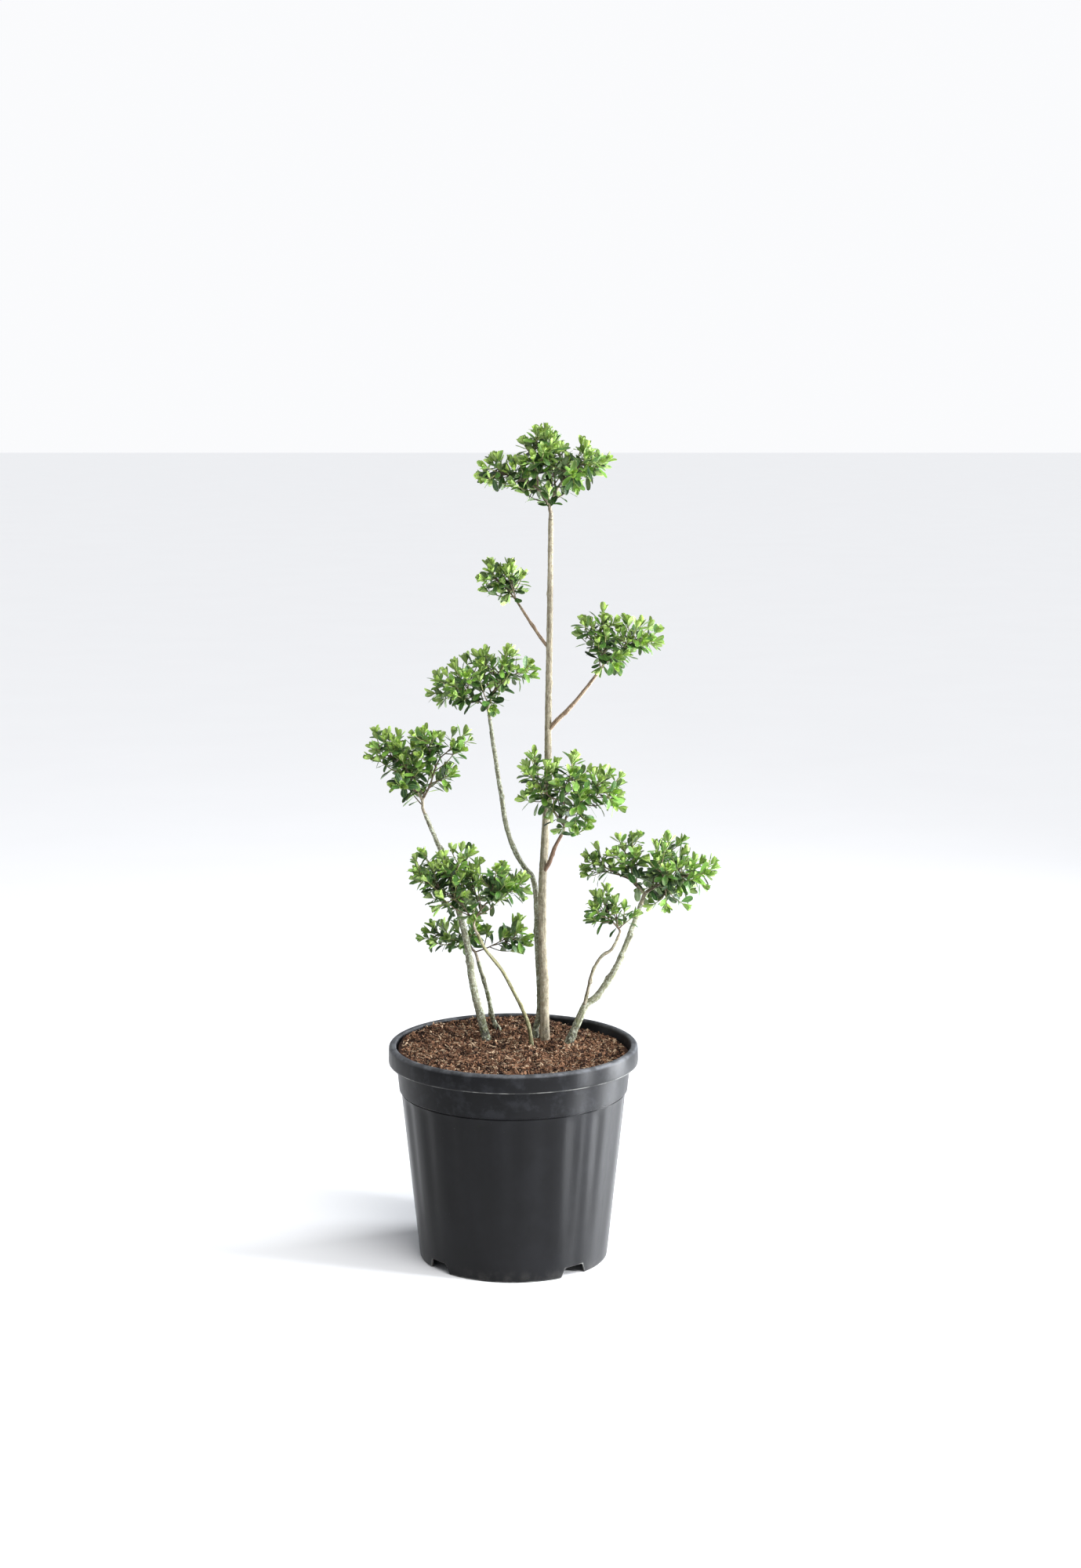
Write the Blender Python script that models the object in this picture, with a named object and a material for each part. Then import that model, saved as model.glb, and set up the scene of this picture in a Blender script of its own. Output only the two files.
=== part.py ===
"""A Japanese holly trained as a cloud tree, in the round nursery pot that it grows in.

Metres, +Z up. The origin is the middle of the pot's underside. +X is to the right of someone who
stands in front of the plant, and +Y points away from them.

Six stems stand in the soil of the pot. The trunk and three boughs on it, and the other stems, each
carry a mass of leaves: eight clouds in all, two of them with a tuft of their own below. A mass is
twigs that part again and again from one stem, with leaves sunk into the last of them.
"""

import math
import random

import bmesh
import bpy
from mathutils import Vector
from mathutils.bvhtree import BVHTree

# Clear space between two pieces that touch on the real plant
GAP = 0.0003

# Pot
POT_HEIGHT = 0.282
POT_FOOT = 0.1245
POT_WALL = 0.0025
POT_SIDES = 36
POT_SHARP = math.radians(35)
FOOT_ROUND = 0.001
SHOULDER_HEIGHT = 0.222
SHOULDER_RADIUS = 0.1492
SHOULDER_STEP = 0.0024
COLLAR_RADIUS = 0.1553
RIM_RADIUS = 0.1655
RIM_DEPTH = 0.0235
RIM_THICK = 0.005
RIM_MOUTH = 0.1557
RIM_WALL = 0.0015
RIM_ROUND = 0.0015
FLOOR_RADIUS = 0.099
FLOOR_THICK = 0.003
FLOOR_DRAFT = 0.002

# Drain notches, cut through the pot's foot under the hollow ring about its floor
DRAIN_HEIGHT = 0.0135
DRAIN_ROOF = 0.001
DRAIN_WIDTH = 0.040
DRAIN_SLANT = 0.385
DRAIN_BEARINGS = (39.5, 129.5, 219.5, 309.5)
CUTTER_INSET = 0.015
CUTTER_EXCESS = 0.01

# Soil
SOIL_TOP = 0.272
SOIL_EDGE_DROP = 0.003
SOIL_EDGE_WIDTH = 0.022

# Limbs: the places that each runs through, from its foot to where it enters its mass, then the
# radius at its foot and at its tip. One that stands in the soil names no other limb as carrier.
LIMB_STEP = 0.040
LIMB_SHARP = math.radians(50)
FLARE = 0.11
FLARE_HEIGHT = 0.014
FLARE_RING = 0.3
SEAT_CLEAR = GAP * 1.4
LIMBS = {
    "trunk": {
        "course": [
            (0.0419, 0.0500, SOIL_TOP),
            (0.0413, 0.0495, 0.311),
            (0.0409, 0.0490, 0.353),
            (0.0388, 0.0482, 0.407),
            (0.0384, 0.0472, 0.482),
            (0.0419, 0.0460, 0.547),
            (0.0454, 0.0450, 0.620),
            (0.0465, 0.0440, 0.725),
            (0.0484, 0.0420, 0.852),
            (0.0496, 0.0405, 0.976),
        ],
        "radii": (0.0064, 0.0034),
        "sides": 10,
    },
    "twin_stem": {
        "course": [
            (0.0289, 0.0590, SOIL_TOP),
            (0.0297, 0.0592, 0.287),
            (0.0344, 0.0592, 0.306),
            (0.0347, 0.0592, 0.340),
            (0.0329, 0.0590, 0.381),
            (0.0315, 0.0585, 0.410),
            (0.0303, 0.0575, 0.458),
            (0.0275, 0.0565, 0.484),
            (0.0233, 0.0565, 0.496),
            (0.0149, 0.0575, 0.506),
            (0.0022, 0.0600, 0.527),
            (-0.0102, 0.0640, 0.563),
            (-0.0190, 0.0690, 0.616),
            (-0.0269, 0.0730, 0.668),
            (-0.0322, 0.0750, 0.704),
        ],
        "radii": (0.0044, 0.0025),
        "sides": 8,
    },
    "thin_stem": {
        "course": [
            (0.0245, 0.0180, SOIL_TOP),
            (0.0177, 0.0130, 0.310),
            (-0.0072, 0.0016, 0.365),
            (-0.0192, -0.0025, 0.386),
            (-0.0368, -0.0063, 0.409),
            (-0.0470, -0.0085, 0.430),
        ],
        "radii": (0.0027, 0.0021),
        "sides": 8,
    },
    "left_stem": {
        "course": [
            (-0.0356, 0.0400, SOIL_TOP),
            (-0.0430, 0.0420, 0.302),
            (-0.0516, 0.0455, 0.334),
            (-0.0557, 0.0480, 0.355),
            (-0.0640, 0.0540, 0.408),
            (-0.0929, 0.0636, 0.512),
            (-0.1195, 0.0700, 0.577),
        ],
        "radii": (0.0058, 0.0025),
        "sides": 8,
    },
    "knobbly_stem": {
        "course": [
            (-0.0194, 0.0860, SOIL_TOP),
            (-0.0284, 0.0850, 0.293),
            (-0.0326, 0.0840, 0.313),
            (-0.0360, 0.0830, 0.328),
            (-0.0486, 0.0790, 0.374),
        ],
        "radii": (0.0033, 0.0026),
        "sides": 8,
    },
    "right_stem": {
        "course": [
            (0.0728, 0.0300, SOIL_TOP),
            (0.0869, 0.0308, 0.305),
            (0.0969, 0.0314, 0.326),
            (0.1111, 0.0318, 0.337),
            (0.1266, 0.0322, 0.358),
            (0.1386, 0.0326, 0.379),
            (0.1515, 0.0336, 0.410),
            (0.1700, 0.0350, 0.461),
        ],
        "radii": (0.0055, 0.0033),
        "sides": 8,
    },
    "right_side_branch": {
        "carrier": "right_stem",
        "course": [
            (0.0935, 0.0312, 0.319),
            (0.0978, 0.0255, 0.340),
            (0.1031, 0.0180, 0.366),
            (0.1085, 0.0135, 0.382),
            (0.1175, 0.0090, 0.397),
            (0.1289, 0.0060, 0.405),
            (0.1350, 0.0035, 0.415),
            (0.1386, 0.0020, 0.424),
        ],
        "radii": (0.0025, 0.0020),
        "sides": 6,
    },
    "bough_high_left": {
        "carrier": "trunk",
        "course": [
            (0.0478, 0.0428, 0.803),
            (0.0378, 0.0510, 0.815),
            (0.0282, 0.0620, 0.8275),
            (0.0105, 0.0820, 0.853),
        ],
        "radii": (0.0023, 0.0018),
        "sides": 6,
    },
    "bough_high_right": {
        "carrier": "trunk",
        "course": [
            (0.0462, 0.0443, 0.694),
            (0.0595, 0.0384, 0.7094),
            (0.0819, 0.0280, 0.7341),
            (0.1120, 0.0110, 0.775),
        ],
        "radii": (0.0032, 0.0020),
        "sides": 6,
    },
    "bough_middle": {
        "carrier": "trunk",
        "course": [
            (0.0393, 0.0468, 0.502),
            (0.0470, 0.0385, 0.515),
            (0.0543, 0.0240, 0.5383),
            (0.0640, 0.0060, 0.5605),
        ],
        "radii": (0.0030, 0.0022),
        "sides": 6,
    },
}

# Masses: the limb that carries each, and its lobes, each a middle, half its width, depth and
# height, and how many shoots end on it.
CLOUDS = {
    "cloud_top": {
        "limb": "trunk",
        "lobes": [
            ((0.035, 0.040, 1.069), (0.035, 0.060, 0.041), 7),
            ((-0.021, 0.038, 1.041), (0.032, 0.048, 0.027), 4),
            ((0.102, 0.042, 1.050), (0.032, 0.052, 0.037), 4),
            ((0.050, 0.038, 1.026), (0.050, 0.066, 0.030), 4),
        ],
    },
    "cloud_high_left": {
        "limb": "bough_high_left",
        "lobes": [
            ((-0.029, 0.092, 0.897), (0.026, 0.036, 0.028), 5),
            ((0.001, 0.098, 0.887), (0.028, 0.040, 0.038), 4),
        ],
    },
    "cloud_high_right": {
        "limb": "bough_high_right",
        "lobes": [
            ((0.095, 0.006, 0.832), (0.018, 0.030, 0.030), 2),
            ((0.128, 0.000, 0.830), (0.025, 0.050, 0.039), 3),
            ((0.174, 0.006, 0.823), (0.029, 0.044, 0.034), 3),
            ((0.127, 0.004, 0.789), (0.030, 0.050, 0.023), 3),
        ],
    },
    "cloud_middle_left": {
        "limb": "twin_stem",
        "lobes": [
            ((-0.096, 0.076, 0.747), (0.031, 0.042, 0.029), 3),
            ((-0.054, 0.082, 0.772), (0.033, 0.056, 0.038), 4),
            ((0.002, 0.078, 0.774), (0.035, 0.050, 0.031), 4),
            ((-0.045, 0.080, 0.735), (0.046, 0.056, 0.026), 3),
        ],
    },
    "cloud_far_left": {
        "limb": "left_stem",
        "lobes": [
            ((-0.171, 0.072, 0.667), (0.031, 0.044, 0.031), 3),
            ((-0.123, 0.068, 0.676), (0.030, 0.050, 0.032), 3),
            ((-0.069, 0.070, 0.676), (0.018, 0.026, 0.030), 2),
            ((-0.145, 0.074, 0.625), (0.037, 0.056, 0.039), 4),
            ((-0.092, 0.078, 0.625), (0.022, 0.032, 0.020), 3),
        ],
    },
    "cloud_middle": {
        "limb": "bough_middle",
        "lobes": [
            ((0.025, -0.004, 0.652), (0.023, 0.038, 0.027), 2),
            ((0.028, 0.002, 0.613), (0.024, 0.040, 0.026), 2),
            ((0.084, -0.012, 0.638), (0.038, 0.054, 0.036), 5),
            ((0.129, 0.000, 0.621), (0.026, 0.042, 0.034), 3),
            ((0.074, -0.008, 0.591), (0.039, 0.050, 0.028), 3),
            ((0.037, 0.076, 0.587), (0.028, 0.026, 0.030), 2),
        ],
    },
    "cloud_low_left": {
        "limb": "thin_stem",
        "lobes": [
            ((-0.119, 0.020, 0.511), (0.022, 0.042, 0.031), 3),
            ((-0.071, 0.016, 0.512), (0.031, 0.060, 0.038), 4),
            ((-0.024, 0.014, 0.500), (0.025, 0.050, 0.035), 3),
            ((0.006, 0.012, 0.489), (0.021, 0.036, 0.025), 3),
            ((-0.070, 0.016, 0.467), (0.046, 0.058, 0.027), 4),
        ],
    },
    "tuft_low_left": {
        "limb": "knobbly_stem",
        "lobes": [
            ((-0.100, 0.084, 0.409), (0.030, 0.036, 0.024), 4),
            ((-0.057, 0.092, 0.410), (0.030, 0.038, 0.032), 3),
            ((0.006, 0.074, 0.412), (0.024, 0.028, 0.029), 2),
        ],
    },
    "cloud_low_right": {
        "limb": "right_stem",
        "lobes": [
            ((0.107, 0.044, 0.513), (0.019, 0.026, 0.030), 3),
            ((0.154, 0.040, 0.529), (0.029, 0.050, 0.038), 3),
            ((0.204, 0.042, 0.519), (0.038, 0.062, 0.039), 4),
            ((0.251, 0.044, 0.506), (0.027, 0.046, 0.029), 3),
            ((0.205, 0.042, 0.476), (0.046, 0.058, 0.025), 3),
        ],
    },
    "tuft_low_right": {
        "limb": "right_side_branch",
        "lobes": [
            ((0.118, -0.002, 0.460), (0.027, 0.036, 0.035), 4),
            ((0.150, 0.000, 0.445), (0.023, 0.030, 0.028), 2),
        ],
    },
}

# Growth of a mass
LOWEST_SHOOT = -0.9
SHOOT_INSET = 0.015
SHOOT_INSET_SHARE = 0.5
SHOOT_LIFT = 0.35
SHOOT_SWAY = 0.3
STEM_LENGTH = 0.008
STEM_TAPER = 0.95
FIRST_FORK_SHARE = 0.15
FORK_SHARE = 0.36
TWIG_RADIUS = 0.0012
TWIG_TIP_SHARE = 0.75
THINNING = 0.5
GOLDEN_ANGLE = math.pi * (3 - math.sqrt(5))
SPACE_SLACK = 1.12
LIMB_CLEAR = 0.0012

# Leaves
LEAF_LENGTH = 0.034
LEAF_WIDTH = 0.0175
LEAF_WAIST = 0.54
LEAF_THICK = 0.0014
LEAF_DROOP = 0.08
LEAF_SPACING = 0.0110
BARE_LENGTH = 0.012
LIFTED_LENGTH = 0.030
END_LEAVES = 3
LEAF_SIZES = (0.85, 1.05)
SIZES_TRIED = (1, 0.85, 0.7)
LEAF_ROOT_CLEAR = 0.003
END_LEAF_BACK = 0.005
END_LEAF_STEP = 0.0008
SIDE_LEAF_TILT = math.radians(58)
END_LEAF_TILT = math.radians(28)
TURN_SWAY = 0.2
TILT_SWAY = 0.15
FACE_LIFT = 0.4


def clear_scene():
    for thing in list(bpy.data.objects):
        bpy.data.objects.remove(thing, do_unlink=True)


def material(name, colour, roughness):
    made = bpy.data.materials.new(name)
    made.use_nodes = True
    shader = made.node_tree.nodes["Principled BSDF"]
    shader.inputs["Base Color"].default_value = (*colour, 1)
    shader.inputs["Roughness"].default_value = roughness
    shader.inputs["Metallic"].default_value = 0
    made.diffuse_color = (*colour, 1)
    return made


def add_object(name, verts, faces, finish=None, collection=None):
    mesh = bpy.data.meshes.new(name)
    mesh.from_pydata([tuple(v) for v in verts], [], faces)
    mesh.validate()
    made = bpy.data.objects.new(name, mesh)
    (collection or bpy.context.scene.collection).objects.link(made)
    if finish:
        mesh.materials.append(finish)
    return made


def apply_modifiers(thing):
    bpy.context.view_layer.update()
    graph = bpy.context.evaluated_depsgraph_get()
    finished = bpy.data.meshes.new_from_object(thing.evaluated_get(graph))
    thing.modifiers.clear()
    spent = thing.data
    thing.data = finished
    bpy.data.meshes.remove(spent)


# Turned pieces


def turned(name, profile, finish):
    """A closed outline of (radius, height), both ends on the axis, turned about the pot's axis."""
    verts = [(0, 0, profile[0][1])]
    rings = []
    for radius, height in profile[1:-1]:
        rings.append(len(verts))
        for k in range(POT_SIDES):
            turn = 2 * math.pi * k / POT_SIDES
            verts.append((radius * math.cos(turn), radius * math.sin(turn), height))
    verts.append((0, 0, profile[-1][1]))
    last = len(verts) - 1
    faces = []
    for k in range(POT_SIDES):
        n = (k + 1) % POT_SIDES
        faces.append((0, rings[0] + n, rings[0] + k))
        for low, high in zip(rings, rings[1:]):
            faces.append((low + k, low + n, high + n, high + k))
        faces.append((last, rings[-1] + k, rings[-1] + n))
    made = add_object(name, verts, faces, finish)
    made.data.shade_smooth()
    made.data.set_sharp_from_angle(angle=POT_SHARP)
    return made


def wall_radius(height):
    """Radius of the pot's plain tapering wall, outside."""
    return POT_FOOT + (SHOULDER_RADIUS - POT_FOOT) * height / SHOULDER_HEIGHT


def collar_radius(height):
    low = SHOULDER_RADIUS + SHOULDER_STEP
    low_height = SHOULDER_HEIGHT + SHOULDER_STEP
    high_height = POT_HEIGHT - RIM_DEPTH
    return low + (COLLAR_RADIUS - low) * (height - low_height) / (high_height - low_height)


def inner_outline():
    """The pot's inside as (radius, height), from the edge of the floor up to the mouth."""
    step = DRAIN_HEIGHT + DRAIN_ROOF + FLOOR_THICK
    shoulder = SHOULDER_HEIGHT + POT_WALL
    collar = shoulder + SHOULDER_STEP
    lip = POT_HEIGHT - RIM_DEPTH
    return [
        (FLOOR_RADIUS - POT_WALL, FLOOR_THICK),
        (FLOOR_RADIUS - POT_WALL + FLOOR_DRAFT, step),
        (wall_radius(step) - POT_WALL, step),
        (wall_radius(shoulder) - POT_WALL, shoulder),
        (collar_radius(collar) - POT_WALL, collar),
        (COLLAR_RADIUS - POT_WALL, lip),
        (RIM_MOUTH, POT_HEIGHT - RIM_ROUND),
    ]


def drain_cutter(name, bearing, home):
    """A wedge wider at its foot, which leaves a drain notch in the pot's bottom edge."""
    half_low = DRAIN_WIDTH / 2
    half_high = half_low - DRAIN_SLANT * DRAIN_HEIGHT
    verts = []
    for reach in (POT_FOOT - CUTTER_INSET, POT_FOOT + CUTTER_EXCESS):
        verts += [(-half_low, reach, -CUTTER_EXCESS), (half_low, reach, -CUTTER_EXCESS)]
        verts += [(half_high, reach, DRAIN_HEIGHT), (-half_high, reach, DRAIN_HEIGHT)]
    faces = [(0, 1, 2, 3), (7, 6, 5, 4), (0, 4, 5, 1), (1, 5, 6, 2), (2, 6, 7, 3), (3, 7, 4, 0)]
    made = add_object(name, verts, faces, collection=home)
    made.rotation_euler.z = math.radians(bearing - 180)
    made.hide_render = True
    made.display_type = "WIRE"
    mend_normals(made)
    return made


def mend_normals(thing):
    work = bmesh.new()
    work.from_mesh(thing.data)
    bmesh.ops.recalc_face_normals(work, faces=work.faces)
    work.to_mesh(thing.data)
    work.free()


def make_pot():
    finish = material("pot_plastic", (0.022, 0.022, 0.026), 0.42)
    lip = POT_HEIGHT - RIM_DEPTH
    rim_base = POT_HEIGHT - RIM_THICK
    ring = DRAIN_HEIGHT + DRAIN_ROOF
    outside = [
        (0, 0),
        (FLOOR_RADIUS, 0),
        (FLOOR_RADIUS + FLOOR_DRAFT, ring),
        (wall_radius(ring) - POT_WALL, ring),
        (POT_FOOT - POT_WALL, 0),
        (POT_FOOT - FOOT_ROUND, 0),
        (POT_FOOT, FOOT_ROUND),
        (SHOULDER_RADIUS, SHOULDER_HEIGHT),
        (SHOULDER_RADIUS + SHOULDER_STEP, SHOULDER_HEIGHT + SHOULDER_STEP),
        (COLLAR_RADIUS, lip),
        (RIM_MOUTH + RIM_WALL, rim_base),
        (RIM_RADIUS - POT_WALL, rim_base),
        (RIM_RADIUS - POT_WALL, lip),
        (RIM_RADIUS, lip),
        (RIM_RADIUS, POT_HEIGHT - RIM_ROUND),
        (RIM_RADIUS - RIM_ROUND, POT_HEIGHT),
        (RIM_MOUTH + RIM_ROUND, POT_HEIGHT),
    ]
    profile = outside + inner_outline()[::-1] + [(0, FLOOR_THICK)]
    pot = turned("pot", profile, finish)
    cutters = bpy.data.collections.new("drain_cutters")
    bpy.context.scene.collection.children.link(cutters)
    for bearing in DRAIN_BEARINGS:
        drain_cutter(f"drain_cutter_{bearing}", bearing, cutters)
    cut = pot.modifiers.new("drains", "BOOLEAN")
    cut.operation = "DIFFERENCE"
    cut.operand_type = "COLLECTION"
    cut.collection = cutters


def make_soil():
    finish = material("potting_soil", (0.13, 0.055, 0.03), 0.95)
    space = [(radius - GAP, height + GAP) for radius, height in inner_outline()[:-2]]
    edge = SOIL_TOP - SOIL_EDGE_DROP
    lip = POT_HEIGHT - RIM_DEPTH
    slope = (RIM_MOUTH - COLLAR_RADIUS + POT_WALL) / (POT_HEIGHT - RIM_ROUND - lip)
    edge_radius = COLLAR_RADIUS - POT_WALL + slope * (edge - lip) - GAP
    profile = [(0, FLOOR_THICK + GAP)] + space
    profile += [(COLLAR_RADIUS - POT_WALL - GAP, lip + GAP), (edge_radius, edge)]
    profile += [(edge_radius - SOIL_EDGE_WIDTH, SOIL_TOP), (0, SOIL_TOP)]
    turned("soil", profile, finish)


# Limbs


def smooth_course(points, step):
    """Places about step apart on a smooth curve through the given ones."""
    ends = [2 * points[0] - points[1]] + points + [2 * points[-1] - points[-2]]
    course = []
    for a, b, c, d in zip(ends, ends[1:], ends[2:], ends[3:]):
        count = max(1, round((c - b).length / step))
        for k in range(count):
            t = k / count
            bend = (2 * a - 5 * b + 4 * c - d) * t * t + (3 * b - a - 3 * c + d) * t**3
            course.append(0.5 * (2 * b + (c - a) * t + bend))
    course.append(points[-1])
    return course


def lengths_along(course):
    reached = [0.0]
    for a, b in zip(course, course[1:]):
        reached.append(reached[-1] + (b - a).length)
    return reached


def frames_along(course):
    """(heading, one way across) at each place of a course, turning with it and not about it."""
    across = (course[1] - course[0]).orthogonal()
    frames = []
    for k in range(len(course)):
        before, after = course[max(k - 1, 0)], course[min(k + 1, len(course) - 1)]
        heading = (after - before).normalized()
        across = (across - heading * across.dot(heading)).normalized()
        frames.append((heading, across))
    return frames


def way_out(heading, across, turn):
    """Unit direction square to the heading, at an angle from the way across."""
    return math.cos(turn) * across + math.sin(turn) * heading.cross(across)


def tube(course, radii, sides):
    """Verts and faces of a closed tube, its rings square to the course."""
    verts = []
    for place, radius, (heading, across) in zip(course, radii, frames_along(course)):
        for j in range(sides):
            verts.append(place + radius * way_out(heading, across, 2 * math.pi * j / sides))
    faces = [tuple(range(sides))[::-1]]
    for k in range(len(course) - 1):
        for j in range(sides):
            n = (j + 1) % sides
            low, high = k * sides, (k + 1) * sides
            faces.append((low + j, low + n, high + n, high + j))
    faces.append(tuple(range((len(course) - 1) * sides, len(course) * sides)))
    return verts, faces


class Limb:
    """A tapering stem or bough along its course."""

    def __init__(self, name, course, radii, sides, carrier=None):
        self.name, self.sides, self.carrier = name, sides, carrier
        points = [Vector(p) for p in course]
        if not carrier:
            below = points[0] - (points[1] - points[0]).normalized() * FLARE_HEIGHT
            points = [below] + points
        self.course = smooth_course(points, LIMB_STEP)
        if not carrier:
            self.course.insert(2, self.course[1].lerp(self.course[2], FLARE_RING))
        reached = lengths_along(self.course)
        foot, tip = radii
        self.radii = []
        for place, run in zip(self.course, reached):
            radius = foot + (tip - foot) * run / reached[-1]
            if not carrier:
                rise = max(place.z - SOIL_TOP, 0)
                radius *= 1 + FLARE * math.exp(-rise / FLARE_HEIGHT)
            self.radii.append(radius)

    @property
    def tip(self):
        return self.course[-1]

    @property
    def heading(self):
        return (self.course[-1] - self.course[-2]).normalized()

    def body(self, swelling=0):
        return tube(self.course, [radius + swelling for radius in self.radii], self.sides)


def make_limb(limb, limbs, finish):
    made = add_object(limb.name, *limb.body(), finish)
    if limb.carrier:
        seat = add_object(f"{limb.name}_seat", *limbs[limb.carrier].body(SEAT_CLEAR))
        seat.hide_render = True
        seat.display_type = "WIRE"
        cut = made.modifiers.new("seat", "BOOLEAN")
        cut.operation = "DIFFERENCE"
        cut.object = seat
    else:
        cut_at_soil(made)
    made.data.shade_smooth()
    made.data.set_sharp_from_angle(angle=LIMB_SHARP)


def cut_at_soil(stem):
    """Leaves a flat foot just clear of the soil."""
    work = bmesh.new()
    work.from_mesh(stem.data)
    everything = work.verts[:] + work.edges[:] + work.faces[:]
    level = Vector((0, 0, SOIL_TOP + GAP))
    cut = bmesh.ops.bisect_plane(
        work, geom=everything, plane_co=level, plane_no=Vector((0, 0, 1)), clear_inner=True
    )
    edges = [e for e in cut["geom_cut"] if isinstance(e, bmesh.types.BMEdge)]
    bmesh.ops.contextual_create(work, geom=edges)
    bmesh.ops.recalc_face_normals(work, faces=work.faces)
    work.to_mesh(stem.data)
    work.free()


# Masses


class Lobe:
    def __init__(self, middle, halves, shoots):
        self.middle, self.halves, self.shoots = Vector(middle), Vector(halves), shoots

    def depth_of(self, place):
        """0 at the middle of the lobe, 1 on its surface."""
        offset = place - self.middle
        return Vector(offset[k] / self.halves[k] for k in range(3)).length

    def shoot_ends(self, rng):
        """(place, heading) of each shoot's end, spread evenly over the lobe but for its underside."""
        phase = rng.uniform(0, 2 * math.pi)
        for k in range(self.shoots):
            rise = 1 - (1 - LOWEST_SHOOT) * (k + 0.5) / self.shoots
            turn = phase + k * GOLDEN_ANGLE + rng.uniform(-SHOOT_SWAY, SHOOT_SWAY)
            flat = math.sqrt(1 - rise * rise)
            out = Vector((flat * math.cos(turn), flat * math.sin(turn), rise))
            edge = Vector(out[i] * self.halves[i] for i in range(3))
            inset = min(SHOOT_INSET, SHOOT_INSET_SHARE * edge.length)
            place = self.middle + edge * (1 - inset / edge.length)
            yield place, (edge.normalized() + Vector((0, 0, SHOOT_LIFT))).normalized()


class Twig:
    """A tapering twig through its forks. Its last stretch is a shoot, which bears the leaves."""

    def __init__(self, places, heading, radii):
        self.course, self.heading = places, heading
        self.radii = [*radii, TWIG_RADIUS * TWIG_TIP_SHARE]
        self.frames = frames_along(self.course)
        self.length = lengths_along(self.course)[-1]

    def body(self):
        return tube(self.course, self.radii, 3)

    def at(self, back):
        """(place, heading, way across) at a length back from the tip, where leaves turn upward."""
        lift = max(1 - back / LIFTED_LENGTH, 0)
        for k in range(len(self.course) - 1, 0, -1):
            a, b = self.course[k], self.course[k - 1]
            length = (b - a).length
            if back <= length or k == 1:
                t = min(back / length, 1)
                heading = (a - b).normalized().lerp(self.heading, lift).normalized()
                across = self.frames[k][1].lerp(self.frames[k - 1][1], t)
                across = (across - heading * across.dot(heading)).normalized()
                return a.lerp(b, t), heading, across
            back -= length


def farthest_pair(places):
    pairs = [(p, q) for k, p in enumerate(places) for q in places[k + 1 :]]
    return max(pairs, key=lambda pair: (pair[0] - pair[1]).length)


def part_twigs(places, radii, ends, twigs, share=FORK_SHARE):
    """Grows a twig towards the middle of the given shoot ends. There it goes on to the nearer
    half of them, and a new twig leaves it for the others, until each has one end to reach."""
    if len(ends) == 1:
        end, heading = ends[0]
        twigs.append(Twig([*places, end], heading, radii))
        return
    goals = [place for place, _ in ends]
    middle = sum(goals, Vector()) / len(goals)
    fork = places[-1].lerp(middle, share)
    one, other = farthest_pair(goals)
    near = [end for end in ends if (end[0] - one).length <= (end[0] - other).length]
    far = [end for end in ends if end not in near]
    if len(far) > len(near):
        near, far = far, near
    main, side = (
        max(TWIG_RADIUS, radii[-1] * (len(group) / len(ends)) ** THINNING) for group in (near, far)
    )
    part_twigs([*places, fork], [*radii, main], near, twigs)
    part_twigs([fork], [side], far, twigs)


def leaf(root, along, face, size):
    """A blade of six faces, widest at its waist, keeled beneath, its face turned to the light."""
    face = (face - along * face.dot(along)).normalized()
    side = along.cross(face) * LEAF_WIDTH / 2 * size
    length = LEAF_LENGTH * size
    waist = root + along * LEAF_WAIST * length
    keel = waist - face * LEAF_THICK
    tip = root + along * length - face * LEAF_DROOP * length
    verts = [root, waist + side, tip, waist - side, keel]
    faces = [(0, 1, 3), (1, 2, 3), (0, 4, 1), (1, 4, 2), (2, 4, 3), (3, 4, 0)]
    return verts, faces


def leaves_on(shoot, rng):
    """Root, direction and upper side of the leaves along a twig, in three rows, and at its tip."""
    backs = [END_LEAF_BACK + LEAF_SPACING / 2]
    while backs[-1] + LEAF_SPACING < shoot.length - BARE_LENGTH:
        backs.append(backs[-1] + LEAF_SPACING)
    rows = [(back, SIDE_LEAF_TILT) for back in backs[::-1]]
    rows += [(END_LEAF_BACK - k * END_LEAF_STEP, END_LEAF_TILT) for k in range(END_LEAVES)]
    for k, (back, tilt) in enumerate(rows):
        root, heading, across = shoot.at(back)
        turn = math.pi / 3 + k * 2 * math.pi / 3 + rng.uniform(-TURN_SWAY, TURN_SWAY)
        lean = tilt + rng.uniform(-TILT_SWAY, TILT_SWAY)
        along = math.cos(lean) * heading + math.sin(lean) * way_out(heading, across, turn)
        yield root, along.normalized(), heading + Vector((0, 0, FACE_LIFT))


def fuse(name, stem, others, finish):
    """Joins a stem and everything that grows from it, and gives the body's verts and faces."""
    home = bpy.data.collections.new(f"{name}_pieces")
    bpy.context.scene.collection.children.link(home)
    for k, (verts, faces) in enumerate(others):
        add_object(f"{name}_piece_{k}", verts, faces, collection=home)
    mass = add_object(name, *stem)
    join = mass.modifiers.new("join", "BOOLEAN")
    join.operation = "UNION"
    join.operand_type = "COLLECTION"
    join.collection = home
    join.solver = "MANIFOLD"
    apply_modifiers(mass)
    for piece in list(home.objects):
        spent = piece.data
        bpy.data.objects.remove(piece, do_unlink=True)
        bpy.data.meshes.remove(spent)
    bpy.data.collections.remove(home)
    keep_main_body(mass)
    mass.data.materials.append(finish)
    return [v.co.copy() for v in mass.data.vertices], [f.vertices[:] for f in mass.data.polygons]


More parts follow.
